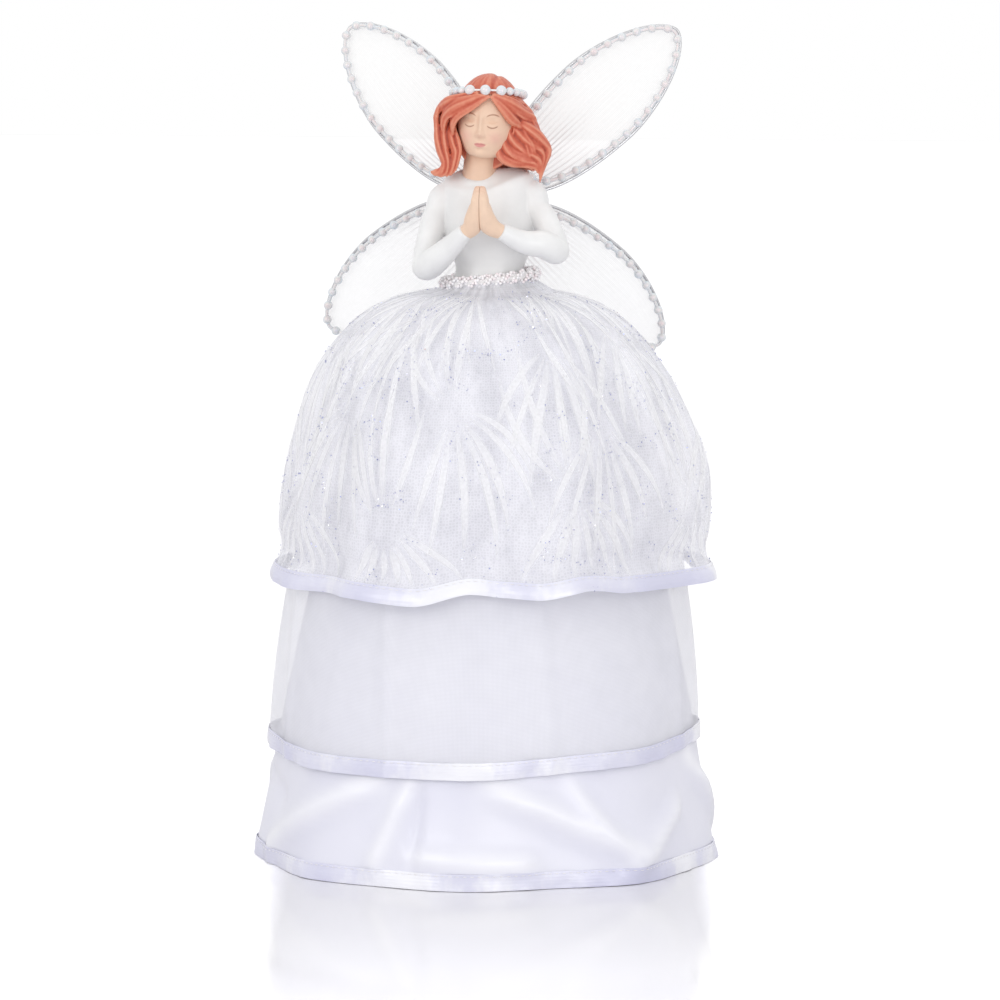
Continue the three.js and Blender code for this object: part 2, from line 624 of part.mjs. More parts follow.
// Paths are in half widths, half depths and half heights of the head from its middle.
// thick and broad are half sizes in hair thicknesses at each point of the path.
const locks = [
  {
    path: [
      [0.1, -1.02, 0.64],
      [-0.4, -1.02, 0.53],
      [-0.85, -0.92, 0.38],
      [-1.25, -0.68, 0.2],
      [-1.42, -0.5, -0.05],
    ],
    thick: [0.4, 0.7, 0.9, 0.9, 0.6],
    broad: [0.4, 0.9, 1.35, 1.4, 1],
  },
  {
    path: [
      [-0.7, -0.95, 0.58],
      [-1.3, -0.65, 0.42],
      [-1.62, -0.35, 0.2],
      [-1.65, -0.4, -0.15],
      [-1.55, -0.42, -0.48],
      [-1.35, -0.46, -0.8],
      [-1.32, -0.46, -1],
      [-1.7, -0.4, -1.12],
    ],
    thick: [0.5, 0.8, 0.9, 0.85, 0.85, 0.8, 0.7, 0.3],
    broad: [0.6, 1, 1.1, 1, 1, 1, 0.9, 0.35],
  },
  {
    path: [
      [-1.1, -0.6, 0.08],
      [-1.18, -0.5, -0.2],
      [-1.1, -0.5, -0.42],
      [-0.96, -0.5, -0.64],
      [-0.98, -0.5, -0.85],
      [-1.1, -0.5, -1.05],
      [-1.25, -0.48, -1.16],
    ],
    thick: [0.6, 0.8, 0.9, 0.9, 0.8, 0.7, 0.3],
    broad: [0.7, 1, 1.1, 1.2, 1.1, 0.9, 0.4],
  },
  {
    path: [
      [0.3, -0.97, 0.65],
      [0.65, -0.85, 0.5],
      [0.95, -0.62, 0.33],
      [1.2, -0.4, 0.2],
      [1.5, -0.05, 0.12],
    ],
    thick: [0.4, 0.8, 1, 1, 0.6],
    broad: [0.5, 1.2, 1.7, 1.6, 0.8],
  },
  {
    path: [
      [0.8, -0.72, 0.64],
      [1.2, -0.2, 0.5],
      [1.5, 0.05, 0.3],
      [1.62, 0.1, 0.05],
      [1.6, 0.05, -0.2],
    ],
    thick: [0.6, 0.9, 1, 0.9, 0.5],
    broad: [0.8, 1.3, 1.5, 1.3, 0.7],
  },
  {
    path: [
      [1.1, -0.38, 0.12],
      [1.45, -0.28, -0.02],
      [1.8, -0.15, -0.18],
      [2.02, 0, -0.38],
      [2.1, 0.05, -0.54],
      [2, 0, -0.78],
      [1.96, -0.08, -0.98],
      [1.94, -0.11, -1.18],
    ],
    thick: [0.6, 0.9, 1, 0.9, 0.9, 0.8, 0.5, 0.2],
    broad: [0.6, 1, 1.2, 1.2, 1.1, 0.9, 0.5, 0.2],
  },
  {
    path: [
      [0.85, -0.45, -0.05],
      [1, -0.42, -0.26],
      [1.3, -0.35, -0.45],
      [1.62, -0.24, -0.56],
      [1.84, -0.14, -0.7],
      [1.9, -0.1, -0.9],
    ],
    thick: [0.6, 0.9, 1.1, 1.1, 0.9, 0.5],
    broad: [0.7, 1.2, 1.4, 1.3, 1.1, 0.6],
  },
  {
    path: [
      [0.72, -0.46, -0.22],
      [0.6, -0.48, -0.44],
      [0.7, -0.47, -0.64],
      [1.05, -0.4, -0.76],
      [1.45, -0.3, -0.8],
      [1.75, -0.2, -0.88],
    ],
    thick: [0.6, 0.9, 1, 1, 0.8, 0.5],
    broad: [0.6, 1, 1.2, 1.1, 0.9, 0.5],
  },
  {
    path: [
      [0.5, 0.7, 0.8],
      [1.2, 0.62, 0.3],
      [1.4, 0.56, -0.4],
      [1.25, 0.5, -0.96],
    ],
    thick: [0.71, 1.21, 1.21, 0.57],
    broad: [1.07, 2.14, 2.14, 1.07],
  },
  {
    path: [
      [-0.5, 0.7, 0.8],
      [-1.2, 0.62, 0.3],
      [-1.4, 0.56, -0.4],
      [-1.25, 0.5, -0.96],
    ],
    thick: [0.71, 1.21, 1.21, 0.57],
    broad: [1.07, 2.14, 2.14, 1.07],
  },
  {
    path: [
      [0, 0.8, 0.7],
      [0, 0.92, 0.1],
      [0, 0.78, -0.5],
      [0, 0.62, -0.92],
    ],
    thick: [0.71, 1.07, 1.07, 0.57],
    broad: [2.14, 3.21, 3.21, 2.14],
  },
];

function lockOfHair({ path, thick, broad }) {
  const points = path.map(([x, y, z]) =>
    point(x * HEAD_HALF_WIDTH, y * HEAD_HALF_DEPTH, z * HEAD_HALF_HEIGHT).add(headCentre),
  );
  const middle = points[Math.floor(points.length / 2)];
  const up = middle.clone().sub(headCentre).setZ(0).normalize();
  const halfUp = thick.map((share) => share * HAIR_THICKNESS);
  const halfAcross = broad.map((share) => share * HAIR_THICKNESS);
  return limb({ points, halfUp, halfAcross, up, steps: points.length, sides: 5 });
}

// The piece that is left when slivers cut loose are thrown away
function largestBody(solid) {
  return solid.decompose().reduce((a, b) => (a.volume() > b.volume() ? a : b));
}

function hairCasting() {
  const seat = GAP + 0.7;
  const cap = cutBy(solidOf(hairCap()), [faceWindow()]);
  const mass = locks.map((lock) => solidOf(lockOfHair(lock))).reduce((a, b) => a.add(b), cap);
  const placed = solidOf(geometryOf(mass).applyMatrix4(headPlace));
  const arms = Object.values(ARMS).map((shape) => arm(shape, GAP));
  const figure = [headBall(seat, 14, 10), neck(GAP), torso(GAP), ...arms];
  const largePearls = Object.values(largePearlPlaces).map((place) => largePearlBall(place, GAP));
  return largestBody(cutBy(placed, [...figure, headbandGroove(), ...largePearls]));
}

// Headband: a ring of small pearls round the hair, with three large pearls threaded on its front

const largePearlPlaces = { right: -1, centre: 0, left: 1 };
const largePearlPitch = 2 * LARGE_PEARL_RADIUS + SMALL_PEARL_RADIUS + GAP;

function headbandPoint(angle) {
  const tilt = Math.tan(radians(HEADBAND_TILT));
  const rise = HEADBAND_RISE / capHalf.z;
  const reach = 1.02 * Math.sqrt(1 - rise * rise);
  const x = Math.cos(angle) * (capHalf.x * reach + SMALL_PEARL_RADIUS + HEADBAND_SIDE_EASE);
  const y = Math.sin(angle) * (capHalf.y * reach + SMALL_PEARL_RADIUS);
  return point(x, y, HEADBAND_RISE - y * tilt).add(capCentre);
}

const headbandCurve = new THREE.CatmullRomCurve3(
  Array.from({ length: 24 }, (_, i) => headbandPoint((2 * Math.PI * i) / 24 - Math.PI / 2)),
  true,
);
const headbandLength = headbandCurve.getLength();
const largePearlShare = (place) => (1 + (place * largePearlPitch) / headbandLength) % 1;

function headbandRing(share, radius) {
  const t = (share + 1) % 1;
  return ringAt(headbandCurve.getPointAt(t), headbandCurve.getTangentAt(t), upward, radius, radius, 6);
}

function headbandGroove() {
  const steps = 28;
  const radius = SMALL_PEARL_RADIUS + 2 * GAP;
  const rings = Array.from({ length: steps }, (_, i) => headbandRing(i / steps, radius));
  return loopLoft(rings).applyMatrix4(headPlace);
}

function headbandString() {
  const steps = 2 * Math.round(headbandLength / HEADBAND_PITCH);
  const path = Array.from({ length: steps }, (_, i) => headbandCurve.getPointAt((i + 1) / steps));
  const pearlRadiusAt = (k) => {
    const along = ((2 * k + 2) / steps) * headbandLength;
    const fromFront = Math.min(along, headbandLength - along);
    return fromFront < 2 * largePearlPitch ? HEADBAND_THREAD_RADIUS : SMALL_PEARL_RADIUS;
  };
  const string = { path, closed: true, threadRadius: HEADBAND_THREAD_RADIUS, pearlRadiusAt };
  return pearlString(string).applyMatrix4(headPlace);
}

function largePearlBall(place, grow = 0) {
  const centre = headbandCurve.getPointAt(largePearlShare(place));
  const ball = new THREE.SphereGeometry(LARGE_PEARL_RADIUS + grow, 10, 6);
  return ball.translate(centre.x, centre.y, centre.z).applyMatrix4(headPlace);
}

function largePearl(place) {
  const reach = (1.6 * LARGE_PEARL_RADIUS) / headbandLength;
  const radius = HEADBAND_THREAD_RADIUS + GAP;
  const rings = [-1, 0, 1].map((k) => headbandRing(largePearlShare(place) + k * reach, radius));
  return cutBy(solidOf(largePearlBall(place)), [loft(rings).applyMatrix4(headPlace)]);
}

// Belt: strands of seed beads twisted round each other and laid round the waist

function beltStrand(index) {
  const ring = torsoRings[0];
  const clear = GAP + BELT_TWIST_RADIUS + BELT_STRAND_RADIUS;
  const slope = Math.tan(radians(BELT_SLANT));
  const steps = 42;
  const path = Array.from({ length: steps }, (_, i) => {
    const angle = (2 * Math.PI * i) / steps;
    const depth = (Math.sin(angle) < 0 ? ring.front : ring.back) + clear;
    const out = point(Math.cos(angle), Math.sin(angle), 0);
    const x = (ring.width + clear) * out.x;
    const centre = point(x, depth * out.y, WAIST_Z + BELT_RISE + x * slope);
    const turn = BELT_TWISTS * angle + (2 * Math.PI * index) / BELT_STRANDS;
    centre.addScaledVector(out, BELT_TWIST_RADIUS * Math.cos(turn));
    centre.addScaledVector(upward, BELT_TWIST_RADIUS * Math.sin(turn));
    return centre;
  });
  const threadRadius = 0.75 * BELT_STRAND_RADIUS;
  return pearlString({ path, closed: true, threadRadius, pearlRadiusAt: () => BELT_STRAND_RADIUS });
}

function addBust() {
  addPiece("torso_casting", geometryOf(torsoCasting()), "whitePaint");
  for (const [name, shape] of Object.entries(ARMS)) {
    addPiece(`${name}_arm`, geometryOf(cutBy(solidOf(arm(shape)), [torso(GAP)])), "whitePaint");
    addPiece(`${name}_hand`, geometryOf(hand(shape)), "skinPaint");
  }
  addPiece("head_casting", geometryOf(headCasting()), "skinPaint");
  addPiece("hair_casting", geometryOf(hairCasting()), "hairPaint");
  addPiece("headband_pearl_string", headbandString(), "pearl");
  for (const [name, place] of Object.entries(largePearlPlaces)) {
    addPiece(`headband_pearl_${name}`, geometryOf(largePearl(place)), "pearl");
  }
  for (let i = 0; i < BELT_STRANDS; i++) {
    addPiece(`belt_bead_strand_${i + 1}`, beltStrand(i), "seedBead");
  }
}

// Wings: a wire loop on a stem, a nylon cover, a pearl string on its front and a thread binding.
// A wing's frame has its origin in the ball at the stem's end, +X towards the tip and +Z to the front.

// An outline that swells from its root to its widest place, then rounds off at the tip and runs back
function wingOutline(start, end, halfWidth, z) {
  const widest = start + WING_WIDEST * (end - start);
  const half = [];
  const rootSteps = 7;
  for (let i = 0; i < rootSteps; i++) {
    const share = (i / rootSteps) ** 1.5;
    const swell = Math.sin((Math.PI / 2) * share) ** WING_ROOT_BLUNTNESS;
    half.push([start + (widest - start) * share, halfWidth * swell]);
  }
  const tipSteps = 8;
  for (let i = 0; i <= tipSteps; i++) {
    const turn = ((Math.PI / 2) * i) / tipSteps;
    half.push([widest + (end - widest) * Math.sin(turn) ** 1.18, halfWidth * Math.cos(turn) ** 1.2]);
  }
  const out = half.map(([x, y]) => point(x, y, z));
  const back = half.slice(1, -1).reverse();
  return [...out, ...back.map(([x, y]) => point(x, -y, z))];
}

function outlineCurve(outline) {
  return new THREE.CatmullRomCurve3([...outline, outline[0].clone()], false, "centripetal");
}

function wingWire() {
  const extrudePath = outlineCurve(wingOutline(WING_STEM_LENGTH, WING_LENGTH, WING_HALF_WIDTH, 0));
  const sides = 5;
  const section = new THREE.Shape(
    Array.from({ length: sides }, (_, i) => {
      const angle = (2 * Math.PI * i) / sides;
      return new THREE.Vector2(WING_WIRE_RADIUS * Math.cos(angle), WING_WIRE_RADIUS * Math.sin(angle));
    }),
  );
  const loop = new THREE.ExtrudeGeometry(section, { steps: 30, extrudePath });
  const stemLength = WING_STEM_LENGTH + WING_STEM_RADIUS;
  const stem = new THREE.CylinderGeometry(WING_STEM_RADIUS, WING_STEM_RADIUS, stemLength, 8);
  stem.rotateZ(-Math.PI / 2).translate(stemLength / 2, 0, 0);
  return joined([loop, stem, new THREE.SphereGeometry(WING_BALL_RADIUS, 8, 6)]);
}

function wingCover() {
  const inset = WING_WIRE_RADIUS + 2 * GAP;
  const start = WING_STEM_LENGTH + WING_COVER_START;
  const outline = wingOutline(start, WING_LENGTH - inset, WING_HALF_WIDTH - inset, 0);
  const shape = new THREE.Shape(outline.map((p) => new THREE.Vector2(p.x, p.y)));
  const cover = new THREE.ExtrudeGeometry(shape, { depth: WING_COVER_THICKNESS, bevelEnabled: false });
  return cover.translate(0, 0, -WING_COVER_THICKNESS / 2);
}

function wingPearls() {
  const inset = WING_WIRE_RADIUS + WING_PEARL_INSET;
  const start = WING_STEM_LENGTH + WING_COVER_START;
  const outline = wingOutline(start, WING_LENGTH - inset, WING_HALF_WIDTH - inset, wingPearlFront);
  const curve = outlineCurve(outline);
  const length = curve.getLength();
  const pearls = Math.floor(length / WING_PEARL_PITCH) - 1;
  const share = (pearls * WING_PEARL_PITCH) / length;
  const path = Array.from({ length: 2 * pearls + 1 }, (_, i) =>
    curve.getPointAt((1 - share) / 2 + (share * i) / (2 * pearls)),
  );
  const string = { path, closed: false, threadRadius: WING_THREAD_RADIUS, sides: 4 };
  return pearlString({ ...string, pearlRadiusAt: () => WING_PEARL_RADIUS });
}

function wingBinding() {
  const inner = WING_STEM_RADIUS + GAP;
  const outer = inner + BINDING_THICKNESS;
  const end = WING_STEM_LENGTH - GAP;
  const profile = [
    new THREE.Vector2(outer, end - BINDING_LENGTH),
    new THREE.Vector2(outer, end),
    new THREE.Vector2(inner, end),
    new THREE.Vector2(inner, end - BINDING_LENGTH),
    new THREE.Vector2(outer, end - BINDING_LENGTH),
  ];
  return new THREE.LatheGeometry(profile, 10).rotateZ(-Math.PI / 2);
}

// The hub is glued to the figure's back and has a cup for the ball of each wing
function wingHub() {
  const start = BACK_DEPTH / 2;
  const hub = new THREE.CylinderGeometry(HUB_RADIUS, HUB_RADIUS, HUB_BACK_Y - start, 20);
  hub.translate(0, (HUB_BACK_Y + start) / 2, HUB_Z);
  const cupRadius = WING_BALL_RADIUS + 2 * GAP;
  const cups = Object.values(WINGS).map((wing) => {
    const root = wingRoot(wing);
    return new THREE.SphereGeometry(cupRadius, 10, 8).translate(root.x, root.y, root.z);
  });
  return cutBy(solidOf(hub), [torso(GAP), ...cups]);
}

function addWings() {
  addPiece("wing_hub", geometryOf(wingHub()), "whitePaint");
  for (const [name, wing] of Object.entries(WINGS)) {
    const { along, across, front } = wingFrame(wing);
    const group = new THREE.Group();
    group.position.copy(wingRoot(wing));
    group.quaternion.setFromRotationMatrix(new THREE.Matrix4().makeBasis(along, across, front));
    topper.add(group);
    addPiece(`${name}_wing_wire`, geometryOf(wingWire()), "silverWire", group);
    addPiece(`${name}_wing_cover`, wingCover(), "nylon", group);
    addPiece(`${name}_wing_pearls`, wingPearls(), "pearl", group);
    addPiece(`${name}_wing_binding`, wingBinding(), "thread", group);
  }
}

addPiece("paperboard_cone", cone(), "paperboard");
addSkirts();
addBust();
addWings();

export default topper;
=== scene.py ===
import math

import bpy
import numpy as np
from mathutils import Matrix, Vector


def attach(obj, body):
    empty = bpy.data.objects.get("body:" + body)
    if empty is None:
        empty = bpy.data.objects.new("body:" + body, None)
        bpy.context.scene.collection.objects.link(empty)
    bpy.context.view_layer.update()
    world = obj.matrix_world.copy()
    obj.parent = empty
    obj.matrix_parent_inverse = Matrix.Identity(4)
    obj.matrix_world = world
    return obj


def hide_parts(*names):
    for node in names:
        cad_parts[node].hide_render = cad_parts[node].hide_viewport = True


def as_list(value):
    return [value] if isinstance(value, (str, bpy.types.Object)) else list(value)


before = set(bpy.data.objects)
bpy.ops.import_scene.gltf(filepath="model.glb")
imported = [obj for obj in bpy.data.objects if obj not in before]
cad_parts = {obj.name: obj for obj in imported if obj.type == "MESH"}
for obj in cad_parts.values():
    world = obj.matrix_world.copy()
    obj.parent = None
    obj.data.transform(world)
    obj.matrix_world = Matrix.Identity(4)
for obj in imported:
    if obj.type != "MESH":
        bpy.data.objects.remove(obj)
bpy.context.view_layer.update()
mm = 0.001  # pieces are worked out in millimetres and stored in metres
tau = 2 * math.pi
print("frame loaded:", len(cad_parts), "nodes")


# small tools

def paint(red, green, blue):  # screen colour, 0 to 255, as the linear colour that a shader takes
    shares = [value / 255 for value in (red, green, blue)]
    return np.array([s / 12.92 if s <= 0.04045 else ((s + 0.055) / 1.055) ** 2.4 for s in shares])


def smoothStep(value, low, high):
    t = np.clip((value - low) / (high - low), 0, 1)
    return t * t * (3 - 2 * t)


def bell(*offsets):  # 1 where all are 0, and fading away from there
    return np.exp(-sum(offset ** 2 for offset in offsets))


def blend(first, second, share):
    return first + (second - first) * share


def unit(vectors):
    return vectors / np.maximum(np.linalg.norm(vectors, axis=-1, keepdims=True), 1e-9)


def oneTurn(count):
    return tau * np.arange(count) / count


def wrapped(angle):  # the same angle, from -pi to pi
    return (angle + math.pi) % tau - math.pi


def polar(radius, angle, height):
    return np.stack(np.broadcast_arrays(radius * np.cos(angle), radius * np.sin(angle), height), -1)


def smoothPath(points, count):  # even steps along a smooth curve through the points
    points = np.asarray(points, float)
    padded = np.vstack([2 * points[0] - points[1], points, 2 * points[-1] - points[-2]])
    share = np.linspace(0, len(points) - 1, count)
    index = np.minimum(share.astype(int), len(points) - 2)
    t = (share - index)[:, None]
    p0, p1, p2, p3 = (padded[index + k] for k in range(4))
    return 0.5 * (2 * p1 + (p2 - p0) * t + (2 * p0 - 5 * p1 + 4 * p2 - p3) * t ** 2
                  + (3 * p1 - p0 - 3 * p2 + p3) * t ** 3)


def smoothValues(values, count):
    return smoothPath([[value] for value in values], count)[:, 0]


def valueAround(controls, angle):  # smooth periodic value through (degrees, value) pairs
    places, values = np.array(controls, float).T
    places = np.concatenate([places[-2:] - 360, places, places[:2] + 360])
    values = np.concatenate([values[-2:], values, values[:2]])
    here = np.degrees(wrapped(angle))
    index = np.clip(np.searchsorted(places, here) - 1, 0, len(places) - 2)
    share = smoothStep(here, places[index], places[index + 1])
    return blend(values[index], values[index + 1], share)


def runLength(points):  # distance along a line to each of its points
    return np.concatenate([[0], np.cumsum(np.linalg.norm(np.diff(points, axis=0), axis=-1))])


def alongLine(places, reach, points):
    return np.stack([np.interp(places, reach, points[:, k]) for k in range(3)], -1)


def evenPath(points, step):  # the same line with points a fixed distance apart
    reach = runLength(points)
    return alongLine(np.linspace(0, reach[-1], int(round(reach[-1] / step)) + 1), reach, points)


def gridFaces(rows, columns, wraps, closed=False):  # rows run down the outside, columns anticlockwise from above
    i, j = np.indices((rows if closed else rows - 1, columns if wraps else columns - 1)).reshape(2, -1)
    n, k = (i + 1) % rows, (j + 1) % columns
    return (np.stack([i, n, n, i], -1) * columns + np.stack([j, j, k, k], -1)).tolist()


def tubeFaces(rings, sides, closed=False):
    faces = [(a, d, c, b) for a, b, c, d in gridFaces(rings, sides, True, closed)]
    if not closed:
        faces += [tuple(range(sides))[::-1], tuple((rings - 1) * sides + j for j in range(sides))]
    return faces


def sweepTube(path, half, up, sides, closed=False, across=None, flute=None):  # across is half the width
    path = np.asarray(path, float)
    tangent = unit(np.roll(path, -1, 0) - np.roll(path, 1, 0) if closed else np.gradient(path, axis=0))
    up = np.broadcast_to(np.asarray(up, float), path.shape)
    first = unit(up - tangent * (up * tangent).sum(-1, keepdims=True))
    second = np.cross(tangent, first)
    angle = oneTurn(sides)
    tall, wide = (np.reshape(size, (-1, 1)) for size in (half, half if across is None else across))
    swell = 1 if flute is None else flute(np.linspace(0, 1, len(path))[:, None], angle)
    rings = (path[:, None] + first[:, None] * (tall * np.cos(angle) * swell)[..., None]
             + second[:, None] * (wide * np.sin(angle) * swell)[..., None])
    return rings.reshape(-1, 3), tubeFaces(len(path), sides, closed)


def joinShapes(shapes):  # one list of points and faces from several
    points, faces, start = [], [], 0
    for shapePoints, shapeFaces in shapes:
        points.append(shapePoints)
        faces.extend(tuple(start + v for v in face) for face in shapeFaces)
        start += len(shapePoints)
    return np.vstack(points), faces


def addObject(name, data):
    thing = bpy.data.objects.new(name, data)
    bpy.context.scene.collection.objects.link(thing)
    return thing


def meshPiece(name, points, faces, finish=None, edges=()):
    mesh = bpy.data.meshes.new(name)
    mesh.from_pydata((np.asarray(points) * mm).tolist(), list(edges), faces)
    mesh.shade_smooth()
    if finish:
        mesh.materials.append(finish)
    return addObject(name, mesh)


def linePiece(name, lines, closed=False):  # polylines for a node tree to follow
    edges, start = [], 0
    for line in lines:
        count = len(line)
        edges.extend((start + i, start + (i + 1) % count) for i in range(count if closed else count - 1))
        start += count
    return meshPiece(name, np.vstack(lines), [], edges=edges)


def addModifier(piece, kind, **settings):
    modifier = piece.modifiers.new(kind.lower(), kind)
    for setting, value in settings.items():
        setattr(modifier, setting, value)
    return modifier


def bakeModifiers(piece):
    graph = bpy.context.evaluated_depsgraph_get()
    baked = bpy.data.meshes.new_from_object(piece.evaluated_get(graph))
    old = piece.data
    piece.modifiers.clear()
    piece.data = baked
    bpy.data.meshes.remove(old)
    baked.name = piece.name
    return piece


def fuse(piece, voxel, smoothing):  # one skin round shapes that lie in each other
    addModifier(piece, "REMESH", mode="VOXEL", voxel_size=voxel * mm, use_smooth_shade=True)
    addModifier(piece, "SMOOTH", factor=0.5, iterations=smoothing)
    return bakeModifiers(piece)


def readVertices(piece, name):
    values = np.zeros(len(piece.data.vertices) * 3)
    piece.data.vertices.foreach_get(name, values)
    return values.reshape(-1, 3)


def hollowShare(piece, spread):  # -1 in a groove to 1 on a ridge, from the shape of the skin
    places = readVertices(piece, "co") / mm
    ends = np.zeros(len(piece.data.edges) * 2, int)
    piece.data.edges.foreach_get("vertices", ends)
    first, second = ends.reshape(-1, 2).T
    count = np.maximum(np.bincount(ends, minlength=len(places)), 1)[:, None]

    def average(values):
        total = np.zeros_like(values)
        np.add.at(total, first, values[second])
        np.add.at(total, second, values[first])
        return total / count

    soft = places
    for _ in range(spread):
        soft = average(soft)
    ridge = average(((places - soft) * readVertices(piece, "normal")).sum(-1, keepdims=True))[:, 0]
    return np.clip(ridge / (2 * ridge.std() + 1e-9), -1, 1)


def setNumber(piece, name, values):
    attribute = piece.data.attributes.new(name, "FLOAT", "POINT")
    attribute.data.foreach_set("value", np.asarray(values, np.float32).ravel())


def setColor(piece, name, colors):
    attribute = piece.data.attributes.new(name, "FLOAT_COLOR", "POINT")
    attribute.data.foreach_set("color", np.insert(colors, 3, 1, axis=1).astype(np.float32).ravel())


def setClothMap(piece, across, down):  # distances on the cloth, in metres
    layer = piece.data.uv_layers.new(name="clothMap")
    i, j = np.indices((len(down) - 1, len(across) - 1)).reshape(2, -1)
    corners = np.stack([across[[j, j, j + 1, j + 1]].T, down[[i, i + 1, i + 1, i]].T], -1)
    layer.data.foreach_set("uv", (corners * mm).astype(np.float32).ravel())


def belongs(piece, slot, *nodes, body="figure"):  # rides on a body, and stands for these nodes of the frame
    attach(piece, body)
    if nodes:
        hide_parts(*nodes)
    return piece


# node trees, filled one at a time

work = {"tree": None, "shader": None}


def node(kind, inputs=None, give=0, **settings):  # a new node in the tree at hand, and one of its outputs
    made = work["tree"].nodes.new(kind)
    for setting, value in settings.items():
        setattr(made, setting, value)
    for socket, value in (inputs or {}).items():
        if isinstance(value, bpy.types.NodeSocket):
            work["tree"].links.new(value, made.inputs[socket])
        else:
            made.inputs[socket].default_value = value
    return made.outputs[give]


def calculate(operation, first, second):
    return node("ShaderNodeMath", {0: first, 1: second}, operation=operation)


def plus(first, second):
    return calculate("ADD", first, second)


def times(first, second):
    return calculate("MULTIPLY", first, second)


def mapped(value, fromLow, fromHigh, low=0.0, high=1.0, **settings):
    return node("ShaderNodeMapRange", {"Value": value, "From Min": fromLow, "From Max": fromHigh,
                                       "To Min": low, "To Max": high}, **settings)


# what repeats: beads on a thread, glitter and stitches

def newTree(name, **sockets):  # names of the inputs, by kind
    tree = work["tree"] = bpy.data.node_groups.new(name, "GeometryNodeTree")
    tree.interface.new_socket("Geometry", in_out="INPUT", socket_type="NodeSocketGeometry")
    for kind, labels in sockets.items():
        for label in labels:
            tree.interface.new_socket(label, in_out="INPUT", socket_type="NodeSocket" + kind)
    tree.interface.new_socket("Geometry", in_out="OUTPUT", socket_type="NodeSocketGeometry")
    return tree, tree.nodes.new("NodeGroupInput").outputs, tree.nodes.new("NodeGroupOutput").inputs[0]


def geoNode(kind, inputs=None, **settings):
    return node("GeometryNode" + kind, inputs, **settings)


def dressed(geometry, finish):
    solid = geoNode("RealizeInstances", {"Geometry": geometry})
    return geoNode("SetMaterial", {"Geometry": geoNode("SetShadeSmooth", {"Geometry": solid}), "Material": finish})


def spaced(line, length):
    return geoNode("ResampleCurve", {"Curve": line, "Length": length}, mode="LENGTH")


def randomSize(least, seed):
    return node("FunctionNodeRandomValue", {2: least, 3: 1.0, "Seed": seed}, 1)


def beadStringTree():
    tree, given, result = newTree(
        "beadString", Float=("Bead Radius", "Spacing", "Thread Radius", "Size Spread"),
        Int=("Seed", "Segments", "Rings"), Material=("Bead Finish", "Thread Finish"))
    line = geoNode("MeshToCurve", {"Mesh": given["Geometry"]})
    bead = geoNode("MeshUVSphere", {"Segments": given["Segments"], "Rings": given["Rings"],
                                    "Radius": given["Bead Radius"]})
    beads = geoNode("InstanceOnPoints", {
        "Points": spaced(line, given["Spacing"]), "Instance": bead,
        "Scale": randomSize(calculate("SUBTRACT", 1.0, given["Size Spread"]), given["Seed"])})
    section = geoNode("CurvePrimitiveCircle", {"Resolution": 6, "Radius": given["Thread Radius"]})
    thread = geoNode("CurveToMesh", {"Curve": line, "Profile Curve": section})
    both = geoNode("JoinGeometry")
    for geometry, finish in ((beads, "Bead Finish"), (thread, "Thread Finish")):
        tree.links.new(dressed(geometry, given[finish]), both.node.inputs[0])
    tree.links.new(both, result)
    return tree


def glitterTree():
    tree, given, result = newTree(
        "glitterScatter", Float=("Density", "Flake Radius", "Lift"), Int=("Seed",), Material=("Finish",))
    patch = node("ShaderNodeTexNoise", {"Vector": geoNode("InputPosition"), "Scale": 100.0, "Detail": 1.0})
    spread = geoNode("DistributePointsOnFaces", {"Mesh": given["Geometry"], "Seed": given["Seed"],
                                                 "Density": times(mapped(patch, 0.52, 0.63), given["Density"])})
    lift = node("ShaderNodeVectorMath", {0: spread.node.outputs["Normal"], "Scale": given["Lift"]}, operation="SCALE")
    turn = node("FunctionNodeRandomValue", {0: (0, 0, 0), 1: (6.283, 6.283, 6.283), "Seed": given["Seed"]},
                data_type="FLOAT_VECTOR")
    flakes = geoNode("InstanceOnPoints", {
        "Points": geoNode("SetPosition", {"Geometry": spread, "Offset": lift}),
        "Instance": geoNode("MeshCircle", {"Vertices": 6, "Radius": given["Flake Radius"]}, fill_type="NGON"),
        "Rotation": turn, "Scale": randomSize(0.55, given["Seed"])})
    tree.links.new(dressed(flakes, given["Finish"]), result)
    return tree


def stitchTree():
    tree, given, result = newTree(
        "stitchRun", Float=("Spacing", "Stitch Length", "Thread Radius"), Material=("Finish",))
    line = geoNode("MeshToCurve", {"Mesh": given["Geometry"]})
    size = node("ShaderNodeCombineXYZ", {
        0: times(given["Stitch Length"], 0.5), 1: given["Thread Radius"], 2: given["Thread Radius"]})
    bars = geoNode("InstanceOnPoints", {
        "Points": spaced(line, given["Spacing"]),
        "Instance": geoNode("MeshUVSphere", {"Segments": 6, "Rings": 4, "Radius": 1.0}),
        "Rotation": node("FunctionNodeAlignRotationToVector", {"Vector": geoNode("InputTangent")}, axis="X"),
        "Scale": size})
    tree.links.new(dressed(bars, given["Finish"]), result)
    return tree


beadString = beadStringTree()
glitterScatter = glitterTree()
stitchRun = stitchTree()


def runTree(piece, tree, values):
    modifier = addModifier(piece, "NODES", node_group=tree)
    for item in tree.interface.items_tree:
        if item.in_out == "INPUT" and item.name in values:
            modifier[item.identifier] = values[item.name]
    return bakeModifiers(piece)


def stringBeads(name, lines, look, closed=False):
    return runTree(linePiece(name, lines, closed), beadString, {
        "Bead Radius": look["radius"] * mm, "Spacing": look["spacing"] * mm, "Thread Radius": look["thread"] * mm,
        "Size Spread": look["spread"], "Seed": look["seed"], "Segments": look["detail"][0],
        "Rings": look["detail"][1], "Bead Finish": look["finish"], "Thread Finish": look["threadFinish"]})


# finishes

